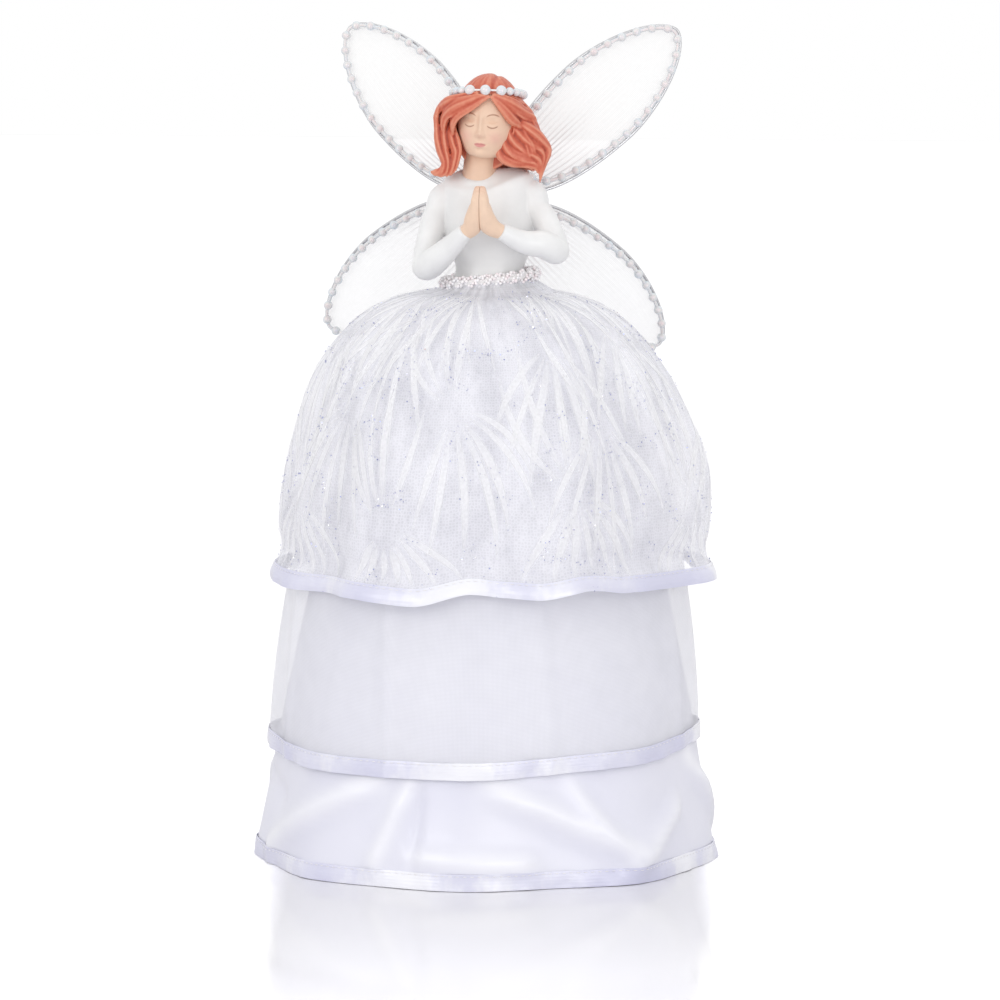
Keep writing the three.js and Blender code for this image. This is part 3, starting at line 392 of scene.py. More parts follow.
def newFinish(name, color, roughness, sockets=None):
    finish = bpy.data.materials.new(name)
    finish.use_nodes = True
    work["tree"] = finish.node_tree
    work["shader"] = finish.node_tree.nodes["Principled BSDF"].inputs
    for socket, value in {"Base Color": (*paint(*color), 1), "Roughness": roughness, **(sockets or {})}.items():
        work["shader"][socket].default_value = value
    return finish


def feed(socket, source):  # into the shader at hand
    work["tree"].links.new(source, work["shader"][socket])


def ramp(factor, stops):
    color = node("ShaderNodeValToRGB", {"Fac": factor})
    bands = color.node.color_ramp.elements
    bands.remove(bands[1])
    for i, (place, value) in enumerate(stops):
        band = bands[0] if i == 0 else bands.new(place)
        band.position = place
        band.color = (*paint(*value), 1) if isinstance(value, tuple) else (value, value, value, 1)
    return color


def tint(factor, stops):
    feed("Base Color", ramp(factor, stops))


def roughen(height, strength, distance):
    feed("Normal", node("ShaderNodeBump", {"Height": height, "Strength": strength, "Distance": distance * mm}))


def objectPlace():
    return node("ShaderNodeTexCoord", give="Object")


def clothPlace():
    return node("ShaderNodeUVMap", uv_map="clothMap")


def pointValue(name, give="Fac"):
    return node("ShaderNodeAttribute", give=give, attribute_name=name)


def stretched(place, scale):
    return node("ShaderNodeMapping", {"Vector": place, "Scale": scale})


def cloud(place, scale, detail=3.0):
    return node("ShaderNodeTexNoise", {"Vector": place, "Scale": scale, "Detail": detail})


def ribs(place, scale, direction, distortion=0.0):
    return node("ShaderNodeTexWave", {"Vector": place, "Scale": scale, "Distortion": distortion}, "Fac",
                bands_direction=direction)


paintLooks = {  # colour, roughness, other sockets, the tint's cloud and stops, the grain's cloud, strength and depth
    "whitePaint": ((234, 234, 234), 0.34, {"Coat Weight": 0.25, "Coat Roughness": 0.16},
                   (130,), [(0.35, (231, 231, 231)), (0.65, (237, 237, 237))], (900,), 0.06, 0.2),
    "pearlLustre": ((229, 226, 230), 0.18, {
        "Coat Weight": 0.5, "Coat Roughness": 0.05, "Thin Film Thickness": 420.0, "Thin Film IOR": 1.45,
        "Specular IOR Level": 0.7},
        (260,), [(0.3, (230, 220, 224)), (0.5, (228, 226, 229)), (0.7, (221, 225, 235))], None, 0, 0),
    "seedBead": ((252, 245, 247), 0.24, {"Coat Weight": 0.3, "Specular IOR Level": 0.6},
                 (520,), [(0.3, (251, 237, 240)), (0.5, (254, 251, 252)), (0.75, (249, 249, 253))], None, 0, 0),
    "glitterFlake": ((232, 234, 250), 0.12, {"Metallic": 0.85, "Thin Film Thickness": 500.0, "Thin Film IOR": 1.5},
                     (800, 1.0), [(0.47, (160, 167, 205)), (0.56, (204, 200, 224)), (0.61, (252, 252, 253))],
                     None, 0, 0),
    "whiteThread": ((240, 238, 238), 0.7, {"Sheen Weight": 0.3}, None, [], (2600, 4.0), 0.5, 0.1),
    "paperboard": ((214, 206, 192), 0.88, {},
                   (240, 6.0), [(0.35, (200, 190, 172)), (0.65, (224, 217, 204))], (900, 5.0), 0.3, 0.2),
}


def paintFinish(name):
    color, roughness, sockets, patches, stops, grain, strength, depth = paintLooks[name]
    finish = newFinish(name, color, roughness, sockets)
    place = objectPlace()
    if patches:
        tint(cloud(place, *patches), stops)
    if grain:
        roughen(cloud(place, *grain), strength, depth)
    return finish


def skinFinish():
    finish = newFinish("skinPaint", (235, 205, 182), 0.42, {"Specular IOR Level": 0.4})
    place = objectPlace()
    mottle = ramp(cloud(place, 420), [(0.3, 0.95), (0.7, 1.0)])
    feed("Base Color", node("ShaderNodeMix", {0: 1.0, 6: pointValue("skinColor", "Color"), 7: mottle}, 2,
                            data_type="RGBA", blend_type="MULTIPLY"))
    roughen(cloud(place, 1500), 0.05, 0.15)
    return finish


def hairFinish():
    finish = newFinish("hairPaint", (196, 98, 78), 0.42)
    place = objectPlace()
    shade = plus(pointValue("lockShadeAndHighlight"), times(cloud(place, 700, 4.0), 0.3))
    # painted shade in the grooves between locks and painted highlight on their ridges, with random streaks from the
    # cloud
    tint(shade, [(0.1, (144, 52, 33)), (0.38, (186, 80, 54)), (0.64, (204, 104, 78)), (0.96, (222, 142, 114))])
    roughen(cloud(place, 1600, 4.0), 0.12, 0.15)
    return finish


def wireFinish():
    finish = newFinish("silverWire", (206, 206, 208), 0.42, {"Metallic": 0.9})
    feed("Roughness", ramp(cloud(objectPlace(), 600), [(0.3, 0.2), (0.7, 0.38)]))
    return finish


def nylonFinish():
    finish = newFinish("sheerNylon", (244, 244, 244), 0.55, {"Sheen Weight": 0.2})
    weave = clothPlace()
    knit = times(ribs(weave, 600, "X", 1.5), ribs(weave, 600, "Y", 1.5))
    gather = pointValue("gather")
    cover = plus(plus(times(gather, 0.7), times(knit, 0.16)), times(cloud(weave, 130, 4.0), 0.26))
    feed("Alpha", mapped(cover, 0.0, 0.8, 0.3, 0.85))
    # the gathered folds are painted darker, as painted shade; they also cover more in the alpha
    tint(gather, [(0.15, (245, 245, 245)), (0.8, (176, 164, 166))])
    return finish


def satinFinish():
    finish = newFinish("whiteSatin", (232, 232, 242), 0.3, {
        "Sheen Weight": 0.3, "Sheen Roughness": 0.35, "Specular IOR Level": 0.5, "Anisotropic": 0.4})
    weave = clothPlace()
    # painted sheen: random lighter patches, and a painted highlight along the crests of the fold swags
    paintedSheen = plus(times(cloud(weave, 24), 0.5), times(pointValue("paintedFoldHighlight"), 0.3))
    tint(paintedSheen, [(0.15, (226, 226, 239)), (0.35, (233, 233, 243)), (0.75, (250, 250, 254))])
    roughen(plus(ribs(weave, 900, "X"), times(cloud(weave, 1800), 0.8)), 0.1, 0.03)
    return finish


def ribbonFinish():
    finish = newFinish("satinRibbon", (228, 228, 240), 0.26, {
        "Sheen Weight": 0.25, "Specular IOR Level": 0.7, "Anisotropic": 0.5})
    weave = clothPlace()
    long = stretched(weave, (0.7, 0.5, 1.0))
    # painted highlights: lighter patches, long along the ribbon, between lavender ones
    tint(plus(cloud(long, 34, 2.0), times(cloud(long, 420), 0.12)),
         [(0.45, (210, 210, 231)), (0.57, (222, 222, 238)), (0.63, (238, 238, 246)), (0.78, (244, 244, 249))])
    roughen(ribs(weave, 260, "Y"), 0.4, 0.06)
    return finish


def organzaFinish():
    finish = newFinish("sheerOrganza", (250, 250, 255), 0.4, {"Sheen Weight": 0.4, "Sheen Roughness": 0.3})
    weave = clothPlace()
    grid = times(ribs(weave, 700, "X"), ribs(weave, 700, "Y"))
    slub = cloud(weave, 60, 2.0)
    feed("Alpha", mapped(plus(times(grid, 0.3), times(slub, 0.35)), 0.0, 0.6, 0.44, 0.7))
    roughen(slub, 0.15, 0.4)
    return finish


def laceNetFinish():
    finish = newFinish("laceNet", (249, 249, 255), 0.6, {"Sheen Weight": 0.4})
    weave = clothPlace()
    cells = node("ShaderNodeTexVoronoi", {"Vector": weave, "Scale": 900.0, "Randomness": 0.5},
                 feature="DISTANCE_TO_EDGE")
    net = ramp(cells, [(0.03, 0.54), (0.12, 0.5), (0.25, 0.44)])
    fall = stretched(weave, (1.0, 0.5, 1.0))
    haze = ramp(cloud(fall, 80), [(0.38, 0.0), (0.62, 0.2)])
    sheer = ramp(cloud(fall, 260, 2.0), [(0.54, 0.0), (0.68, 0.06)])
    feed("Alpha", calculate("SUBTRACT", plus(net, haze), sheer))
    return finish


def laceThreadFinish():
    finish = newFinish("laceThread", (253, 253, 255), 0.6, {"Sheen Weight": 0.4})
    fibre = cloud(objectPlace(), 900, 4.0)
    feed("Alpha", times(ramp(fibre, [(0.3, 0.56), (0.65, 0.68)]), pointValue("strokeFade")))
    roughen(fibre, 0.06, 0.2)
    return finish


whitePaint, pearlLustre, seedBead, glitterFlake, whiteThread, paperboard = map(paintFinish, paintLooks)
skinPaint = skinFinish()
hairPaint = hairFinish()
silverWire = wireFinish()
sheerNylon = nylonFinish()
whiteSatin = satinFinish()
satinRibbon = ribbonFinish()
sheerOrganza = organzaFinish()
laceNet = laceNetFinish()
laceThread = laceThreadFinish()
print("finishes made:", len(bpy.data.materials))


# camera, floor and light

studio = {
    "distance": 2.5, "azimuth": math.radians(6.0), "height": 0.42, "aim": (0, 0, 0.129), "lens": 251.4, "shift": 0.01,
    "floorColor": (236, 235, 238), "floorHalf": 4000, "floorDrop": 0.05, "roomLight": 0.9, "lampAim": (0, 0, 0.15),
    "lamps": {  # place, size and power
        "keyLamp": ((-1.2, -1.9, 0.9), (1.1, 1.1), 8.6),
        "fillLamp": ((1.0, -1.8, 0.45), (1.0, 1.0), 6.6),
        "topLamp": ((0.2, 0.7, 1.9), (1.2, 0.8), 2.4),
    },
}


def pointAt(thing, place, target):
    thing.location = place
    thing.rotation_euler = (Vector(target) - thing.location).to_track_quat("-Z", "Y").to_euler()


def addCamera():
    camera = addObject("camera", bpy.data.cameras.new("camera"))
    turn, distance = studio["azimuth"], studio["distance"]
    pointAt(camera, (distance * math.sin(turn), -distance * math.cos(turn), studio["height"]), studio["aim"])
    camera.data.lens = studio["lens"]
    camera.data.shift_x = studio["shift"]
    bpy.context.scene.camera = camera


def addFloor():
    half = studio["floorHalf"]
    corners = [(x, y, -studio["floorDrop"]) for x, y in ((-half, -half), (half, -half), (half, half), (-half, half))]
    finish = newFinish("paleFloor", studio["floorColor"], 0.1, {
        "Specular IOR Level": 0.5, "Emission Color": (1, 1, 1, 1)})
    place = objectPlace()
    away = node("ShaderNodeVectorMath", {0: place}, "Value", operation="LENGTH")
    sideways = (math.cos(studio["azimuth"]), math.sin(studio["azimuth"]), 0)
    across = calculate("ABSOLUTE", node("ShaderNodeVectorMath", {0: place, 1: sideways}, "Value",
                                        operation="DOT_PRODUCT"), 0.0)

    def fade(value, near, far, start, end):
        return mapped(value, near, far, start, end, interpolation_type="SMOOTHSTEP")

    beside = times(fade(across, 0.07, 0.082, 0.0, 0.36), fade(away, 0.2, 0.6, 1.0, 0.5))
    seen = node("ShaderNodeLightPath", give="Is Camera Ray")  # the backdrop's white, for the picture alone
    feed("Emission Strength", times(seen, calculate("MAXIMUM", beside, fade(away, 0.12, 0.32, 0.0, 0.18))))
    roughen(cloud(place, 40, 2.0), 0.02, 0.2)
    meshPiece("floor", corners, [(0, 1, 2, 3)], finish)


def addLight():
    room = bpy.context.scene.world = bpy.data.worlds.new("room")
    room.use_nodes = True
    work["tree"] = room.node_tree
    path = node("ShaderNodeLightPath").node.outputs
    seen = calculate("MAXIMUM", calculate("MAXIMUM", path["Is Camera Ray"], path["Is Glossy Ray"]),
                     path["Is Transmission Ray"])
    back = room.node_tree.nodes["Background"].inputs
    back["Color"].default_value = (1, 1, 1, 1)
    room.node_tree.links.new(mapped(seen, 0.0, 1.0, studio["roomLight"], 1.0), back["Strength"])
    for name, (place, size, power) in studio["lamps"].items():
        lamp = bpy.data.lights.new(name, "AREA")
        lamp.shape = "RECTANGLE"
        lamp.size, lamp.size_y = size
        lamp.energy = power
        pointAt(addObject(name, lamp), place, studio["lampAim"])
    bpy.context.scene.view_settings.view_transform = "Standard"


addCamera()
addFloor()
addLight()
print("camera, floor and light set")


# wings: where each is bent to, as in the CAD

wingBends = {
    "upper_right": {"side": -1, "angle": 46, "sweep": 25},
    "upper_left": {"side": 1, "angle": 43, "sweep": 15},
    "lower_right": {"side": -1, "angle": -38, "sweep": 25},
    "lower_left": {"side": 1, "angle": -45, "sweep": 29},
}
wingSize = {"length": 84.8, "halfWidth": 16.8, "stem": 4.5, "pearlFront": 2.25, "pearlRadius": 1.75,
            "hubRadius": 5.5, "hubHeight": 237, "ballBack": 17.6}


def wingPlace(name):  # along, across and front directions, and the ball at the root
    bend = wingBends[name]
    angle, sweep, side = math.radians(bend["angle"]), math.radians(bend["sweep"]), bend["side"]
    along = np.array([side * math.cos(angle) * math.cos(sweep), math.sin(sweep), math.sin(angle) * math.cos(sweep)])
    across = np.array([-math.sin(angle), 0, side * math.cos(angle)])
    root = np.array([side * wingSize["hubRadius"] * math.cos(angle), wingSize["ballBack"],
                     wingSize["hubHeight"] + wingSize["hubRadius"] * math.sin(angle)])
    return along, across, np.cross(along, across), root


# skirts

waist = {"coneBase": 72, "coneTop": 12.5, "coneHeight": 202.5, "layerStep": 0.9, "flareStep": 0.6, "headingRows": 11,
         "wingGap": 2.4, "clear": 0.3}
plainCut = {"folds": 8, "foldPhase": 0, "roundness": 0.45, "headingTop": 206.2, "headingEase": 0.4, "headingSlant": 0,
            "fallStart": 0}
skirtCuts = {
    "satin": {**plainCut, "layer": 0, "rows": 120, "columns": 480, "hemRadius": 80.9, "hemHeight": 0, "fullness": 1,
              "foldDepth": 1.8, "foldGrowth": 4, "ribbonSeed": 0.3, "hemWave": [(-180, 0), (0, 0)]},
    "organza": {**plainCut, "layer": 1, "rows": 110, "columns": 400, "hemRadius": 76.4, "hemHeight": 40,
                "fullness": 1.7, "foldDepth": 1.0, "foldGrowth": 1.5, "ribbonSeed": 1.9,
                "hemWave": [(-180, 0.5), (-135, -1.6), (-90, -1.2), (-45, 1.2), (0, 4.2), (45, 1.5), (90, -0.5),
                            (135, 1)]},
    "lace": {"layer": 2, "rows": 110, "columns": 560, "hemRadius": 76.8, "hemHeight": 101, "folds": 7, "foldPhase": 70,
             "fullness": 2.4, "roundness": 0.42, "foldDepth": 3.0, "foldGrowth": 1.2, "headingTop": 208.6,
             "headingEase": 1.2, "headingSlant": 0.11, "fallStart": 0.004, "ribbonSeed": 4.1,
             "hemWave": [(-180, 1.5), (-150, 0), (-125, 0.8), (-104, -0.8), (-89, 3.4), (-80, 2.4), (-72, 1.8),
                         (-59, 4.4), (-45, 2.2), (-25, 1.6), (0, 2.6), (30, 0.4), (60, 2.2), (90, 0), (120, 2),
                         (150, 0.4)]},
}


def pressedIn(cut, radius, height, angle):  # the lower wings lie on the back of the skirts
    outward = polar(1, angle, 0)
    inFront = wingSize["pearlFront"] + wingSize["pearlRadius"] + (3 - cut["layer"]) * waist["wingGap"]
    fade = wingSize["halfWidth"]
    left = radius
    for name in ("lower_right", "lower_left"):
        along, across, front, root = wingPlace(name)
        facing = -(outward @ front)
        ahead = facing > 0.05
        facing = np.where(ahead, facing, 1)
        fromRoot = polar(0, angle, height) - root
        reach = (fromRoot @ front) / facing
        hit = fromRoot + outward * reach[..., None]
        outside = np.maximum(hit @ along - wingSize["length"], np.abs(hit @ across) - wingSize["halfWidth"]) - fade
        limit = np.minimum(radius, reach - inFront / facing)
        near = blend(radius, limit, 1 - smoothStep(outside, 0, 1.5 * fade))
        left = np.where(ahead, np.minimum(left, near), left)
    board = blend(waist["coneBase"], waist["coneTop"], height / waist["coneHeight"])
    nearest = np.maximum(board, waist["coneTop"]) + waist["layerStep"] * cut["layer"] + waist["clear"]
    return np.minimum(radius, np.maximum(left, nearest))


satinSwags = [  # from and to, as degrees round the skirt and millimetres above the table, depth and half width
    ((-117, 37), (-158, 8), 2.4, 5.0), ((-106, 36), (-114, 10), 1.7, 4.5), ((-103, 36), (-104, 13), -1.3, 2.6),
    ((-101, 11), (-76, 9), 1.9, 4.0), ((-82, 36), (-44, 11), 2.3, 5.0), ((-60, 33), (-47, 9), 1.5, 3.4),
    ((-26, 22), (-44, 7), 1.8, 4.0), ((-12, 38), (12, 12), 2.2, 5.0), ((40, 37), (26, 8), 2.0, 5.0),
    ((62, 38), (88, 11), 2.3, 5.0), ((112, 37), (98, 8), 1.8, 4.4), ((134, 38), (160, 10), 2.2, 5.0),
    ((-172, 30), (-160, 26), -1.2, 4.0), ((176, 34), (168, 9), 1.8, 4.0),
]


def swagSwell(drop, angle, spread):  # raised along each swag, and how much of its crest is here
    cut = skirtCuts["satin"]
    height = waist["coneHeight"] * (1 - drop) + cut["hemHeight"]
    swell = crest = np.zeros(np.broadcast(drop, angle).shape)
    for (fromTurn, fromHeight), (toTurn, toHeight), depth, width in satinSwags:
        aside = wrapped(angle - math.radians((fromTurn + toTurn) / 2)) * cut["hemRadius"]
        up = height - (fromHeight + toHeight) / 2
        halfRun = math.radians((toTurn - fromTurn) / 2) * cut["hemRadius"]
        halfFall = (toHeight - fromHeight) / 2
        size = math.hypot(halfRun, halfFall)
        off = (aside * halfFall - up * halfRun) / size
        beyond = np.maximum(np.abs(aside * halfRun + up * halfFall) / size - size, 0)
        here = bell(off / (spread * width), beyond / (1.6 * width))
        swell = swell + 1.4 * depth * here
        crest = np.maximum(crest, here * smoothStep(depth, 0.0, 2.0))
    under = 1 - 0.8 * smoothStep(height, 29, 37)  # flatter where the organza hangs over it
    return swell * under, crest


def satinFolds(drop, angle):
    soft = np.cos(5 * angle + 2.0 + 1.2 * drop) * 0.7
    full = 2.4 * np.maximum(-np.cos(angle), 0)  # it stands out at the figure's right
    return swagSwell(drop, angle, 1)[0] - 0.6 * smoothStep(drop, 0.75, 0.9) + (soft + full) * drop ** 2


organzaCreases = ((-1.98, 0.9, 0.035), (-1.2, 0.7, 0.05), (-2.7, 0.9, 0.05), (-0.35, 1.0, 0.06), (1.1, 0.9, 0.05))


def organzaFolds(drop, angle):
    crease = sum(depth * bell(wrapped(angle - place - 0.12 * (drop - 0.8)) / width)
                 for place, depth, width in organzaCreases)
    wave = 0.7 * np.cos(5 * angle + 1.0 + 2 * drop) * drop
    aside = -1.7 * np.cos(angle) * drop ** 2  # it hangs a little towards the figure's right
    return crease * smoothStep(drop, 0.35, 0.6) + wave + aside


def lacePleats(angle):
    return np.cos(34 * angle + 1.4 * np.sin(5 * angle + 0.4))


def laceFolds(drop, angle):
    gather = 0.9 * np.exp(-drop / 0.2) * lacePleats(angle + 0.05 * np.sin(9 * drop))
    puff = 0.9 * np.cos(13 * angle + 0.9 * np.sin(3 * angle) + 3 * drop) * smoothStep(drop, 0.05, 0.35)
    pinch = -1.5 * bell((drop - 0.885) / 0.05)
    flare = 2.2 * smoothStep(drop, 0.91, 1.0)
    bulge = 3.4 * bell((drop - 0.6) / 0.2, wrapped(angle) / 0.55)  # it stands out at the figure's left
    slim = -2.8 * np.maximum(-np.cos(angle), 0) ** 2 * smoothStep(drop, 0.1, 0.5)
    return gather + puff + pinch + flare + bulge + slim


skirtFolds = {"satin": satinFolds, "organza": organzaFolds, "lace": laceFolds}


def skirtTop(cut):
    return waist["coneHeight"] + waist["flareStep"] * (cut["layer"] + 1)


def skirtProfile(cut, drop):
    start = waist["coneTop"] + waist["layerStep"] * cut["layer"]
    swell = np.clip(1 - (1 - drop) ** cut["fullness"], 0, 1) ** cut["roundness"]
    return blend(start, cut["hemRadius"], swell), blend(skirtTop(cut), cut["hemHeight"], drop)


def skirtPoint(kind, drop, angle, out):  # drop is 0 at the waist and 1 at the hem
    cut = skirtCuts[kind]
    drop, angle = np.broadcast_arrays(np.asarray(drop, float), np.asarray(angle, float))
    radius, height = skirtProfile(cut, drop)
    above, below = (np.array(skirtProfile(cut, np.clip(drop + step, 0, 1))) for step in (-0.004, 0.004))
    alongRadius, alongHeight = (below - above) / np.hypot(*(below - above))
    fold = cut["foldDepth"] * drop ** cut["foldGrowth"] * np.cos(cut["folds"] * angle + math.radians(cut["foldPhase"]))
    height = height + valueAround(cut["hemWave"], angle) * drop ** 3 + alongRadius * out
    radius = pressedIn(cut, radius + fold + skirtFolds[kind](drop, angle), height, angle) - alongHeight * out
    return polar(radius, angle, height)


def aroundSkirt(columns):  # from the seam at the back, round to it again
    return math.pi / 2 + tau * np.arange(columns + 1) / columns


def skirtSheet(kind, finish):
    cut = skirtCuts[kind]
    seams = aroundSkirt(cut["columns"])
    angle = seams[:-1]
    drop = blend(cut["fallStart"], 1, np.linspace(0, 1, cut["rows"])[:, None] ** 1.7)  # closer at the waist
    fall = skirtPoint(kind, drop, angle, 0.5)
    share = np.linspace(0, 1, waist["headingRows"] + 1)[:-1, None]
    tied = waist["coneTop"] + waist["layerStep"] * cut["layer"] + cut["headingEase"] + 0.25 * lacePleats(angle)
    radius = blend(tied, np.hypot(fall[0, :, 0], fall[0, :, 1]), share ** 1.5)
    slant = cut["headingSlant"] * radius * np.cos(angle) * (1 - share)
    heading = polar(radius, angle, blend(cut["headingTop"], fall[0, :, 2].mean(), share) + slant)
    points = np.concatenate([heading, fall])
    down = np.linalg.norm(np.diff(points, axis=0), axis=-1).mean(1)
    piece = meshPiece(kind + "Skirt", points.reshape(-1, 3), gridFaces(*points.shape[:2], True), finish)
    setClothMap(piece, cut["hemRadius"] * seams, np.concatenate([[0], np.cumsum(down)]))
    if kind == "satin":
        # painted highlight along the swags' crests, for the satin's tint
        crest = swagSwell(drop, angle, 0.8)[1]
        setNumber(piece, "paintedFoldHighlight", np.vstack([0 * heading[..., 0], crest]))
    return belongs(piece, kind, kind + "_skirt")


hem = {"width": 6, "columns": 720, "rows": 9, "thickness": 0.3, "stand": 0.95, "crown": 0.25, "least": 0.75,
       "sharp": 40, "ripples": ((0.45, 13, 1), (0.3, 29, 2.1), (0.22, 47, 0.7)), "stitchInset": 0.8,
       "stitchStand": 1.25, "stitchSpacing": 2.6, "stitchLength": 1.5, "stitchRadius": 0.12}


def hemRibbon(kind):
    cut = skirtCuts[kind]
    seams = aroundSkirt(hem["columns"])
    angle = seams[:-1]
    length = skirtTop(cut) - cut["hemHeight"]
    share = np.linspace(0, 1, hem["rows"])[:, None]
    tilt = sum(size * np.sin(count * angle + turn * cut["ribbonSeed"]) for size, count, turn in hem["ripples"])
    out = hem["stand"] + hem["crown"] * (1 - (2 * share - 1) ** 2) + tilt * (share - 0.35) * 1.1
    points = skirtPoint(kind, 1 - hem["width"] / length * (1 - share), angle, np.maximum(out, hem["least"]))
    faces = gridFaces(hem["rows"], hem["columns"], True)
    ribbon = meshPiece(kind + "HemRibbon", points.reshape(-1, 3), faces, satinRibbon)
    setClothMap(ribbon, cut["hemRadius"] * seams, share[:, 0] * hem["width"])
    addModifier(ribbon, "SOLIDIFY", thickness=hem["thickness"] * mm, offset=-1)
    bakeModifiers(ribbon).data.set_sharp_from_angle(angle=math.radians(hem["sharp"]))
    line = skirtPoint(kind, 1 - (hem["width"] - hem["stitchInset"]) / length, angle, hem["stitchStand"])
    stitches = runTree(linePiece(kind + "HemStitches", [line], True), stitchRun, {
        "Spacing": hem["stitchSpacing"] * mm, "Stitch Length": hem["stitchLength"] * mm,
        "Thread Radius": hem["stitchRadius"] * mm, "Finish": whiteThread})
    return [belongs(ribbon, "ribbon", kind + "_hem_ribbon"), belongs(stitches, "thread")]


satinSkirt = skirtSheet("satin", whiteSatin)
organzaSkirt = skirtSheet("organza", sheerOrganza)
laceSkirt = skirtSheet("lace", laceNet)
ribbons = {kind: hemRibbon(kind) for kind in skirtCuts}
print("skirts hung")


# lace: fans of long leaves drawn on the flat cloth, then laid on the skirt, and glitter

laceWork = {"columns": 8, "rows": (0.02, 0.27, 0.52, 0.77), "flatWidth": 482, "leafLength": 56, "width": 2.3,
            "height": 0.12, "stand": 0.62, "waistGap": 6, "hemGap": 4.5, "stalk": 5, "seed": 11,
            "fans": ((math.pi, 7, 1.05), (0.0, 4, 0.75))}  # heading, with 0 up to the waist, leaves and opening


def leafLines(length):  # across and down from the waist, and how broad
    dice = np.random.default_rng(laceWork["seed"])
    share = np.linspace(0, 1, 18)
    pitch = laceWork["flatWidth"] / laceWork["columns"]
    for row, place in enumerate(laceWork["rows"]):
        for column in range(laceWork["columns"]):
            across = (column + 0.5 * (row % 2) + dice.uniform(-0.15, 0.15)) * pitch
            middle = np.array((across, length * place + dice.uniform(-7, 7)))
            lean = dice.uniform(-0.6, 0.6)
            for heading, count, opening in laceWork["fans"]:
                for k in range(count):
                    spread = opening * (2 * (k + 0.5) / count - 1) + dice.uniform(-0.06, 0.06)
                    way = heading + lean * (1 - share) + spread * (1 - 0.7 * share)
                    size = laceWork["leafLength"] * dice.uniform(0.75, 1.1) * (1 - 0.2 * abs(spread))
                    steps = np.stack([np.sin(way), -np.cos(way)], -1)
                    leaf = middle + laceWork["stalk"] * steps[0] + np.cumsum(steps, 0) * size / len(share)
                    yield leaf, dice.uniform(0.7, 1.05)


def laceStrokes():
    drops = np.linspace(0, 1, 200)
    reach = runLength(np.stack(skirtProfile(skirtCuts["lace"], drops), -1))
    shapes, fades = [], []
    for line, weight in leafLines(reach[-1]):
        inside = np.flatnonzero((line[:, 1] > laceWork["waistGap"]) & (line[:, 1] < reach[-1] - laceWork["hemGap"]))
        if len(inside) < 4:
            continue
        line = line[inside[0]:inside[-1] + 1]
        drop = np.interp(line[:, 1], reach, drops)
        angle = tau * line[:, 0] / laceWork["flatWidth"]
        middle = skirtPoint("lace", drop, angle, laceWork["stand"])
        side = skirtPoint("lace", drop, angle + 0.004, laceWork["stand"]) - middle
        fall = skirtPoint("lace", np.clip(drop + 0.003, 0, 1), angle, laceWork["stand"]) - middle
        normal = unit(np.cross(side, fall))
        normal *= np.sign((normal[:, :2] * middle[:, :2]).sum(-1, keepdims=True))
        share = np.linspace(0, 1, len(line))
        squeeze = np.clip(np.hypot(middle[:, 0], middle[:, 1]) / 70, 0.45, 1)
        wide = laceWork["width"] * weight * squeeze * (0.3 + 0.7 * np.sin(math.pi * share ** 0.8))
        beside = np.cross(normal, unit(np.gradient(middle, axis=0))) * wide[:, None]
        rings = np.stack([middle + beside * aside + normal * rise * laceWork["height"]
                          for aside, rise in ((1, 0), (0.5, 1), (-0.5, 1), (-1, 0))], 1)
        shapes.append((rings.reshape(-1, 3), gridFaces(len(line), 4, False)))
        fades.append((np.sin(math.pi * (0.12 + 0.78 * share))[:, None] * (0.0, 1.0, 1.0, 0.0)).ravel())
    piece = meshPiece("laceStrokes", *joinShapes(shapes), laceThread)
    setNumber(piece, "strokeFade", np.concatenate(fades))
    return belongs(piece, "lace")


flakes = {"density": 250000.0, "radius": 0.32, "lift": 0.35, "seed": 5}  # so many on a square metre


def laceGlitter():
    piece = addObject("laceGlitter", laceSkirt.data.copy())
    runTree(piece, glitterScatter, {
        "Density": flakes["density"], "Flake Radius": flakes["radius"] * mm, "Lift": flakes["lift"] * mm,
        "Seed": flakes["seed"], "Finish": glitterFlake})
    return belongs(piece, "lace")


strokes = laceStrokes()
glitter = laceGlitter()
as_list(ribbons["satin"])
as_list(ribbons["organza"])
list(ribbons["lace"])
print("lace worked:", len(strokes.data.polygons), "faces of thread,", len(glitter.data.polygons), "flakes")


# tie thread round the skirts' headings

tieThread = {"ringRadius": 15.8, "height": 205.6, "strandRadius": 0.33, "twistRadius": 0.3, "twists": 46,
             "steps": 720, "sides": 8}


def gatherThread():
    angle = oneTurn(tieThread["steps"])
    shapes = []
    for strand in range(2):
        turn = tieThread["twists"] * angle + math.pi * strand
        path = polar(tieThread["ringRadius"] + tieThread["twistRadius"] * np.cos(turn), angle,
                     tieThread["height"] + tieThread["twistRadius"] * np.sin(turn))
        shapes.append(sweepTube(path, tieThread["strandRadius"], (0, 0, 1), tieThread["sides"], True))
    belongs(meshPiece("gatherThread", *joinShapes(shapes), whiteThread), "thread", "gather_thread")


gatherThread()


# bodice and sleeves, one painted casting

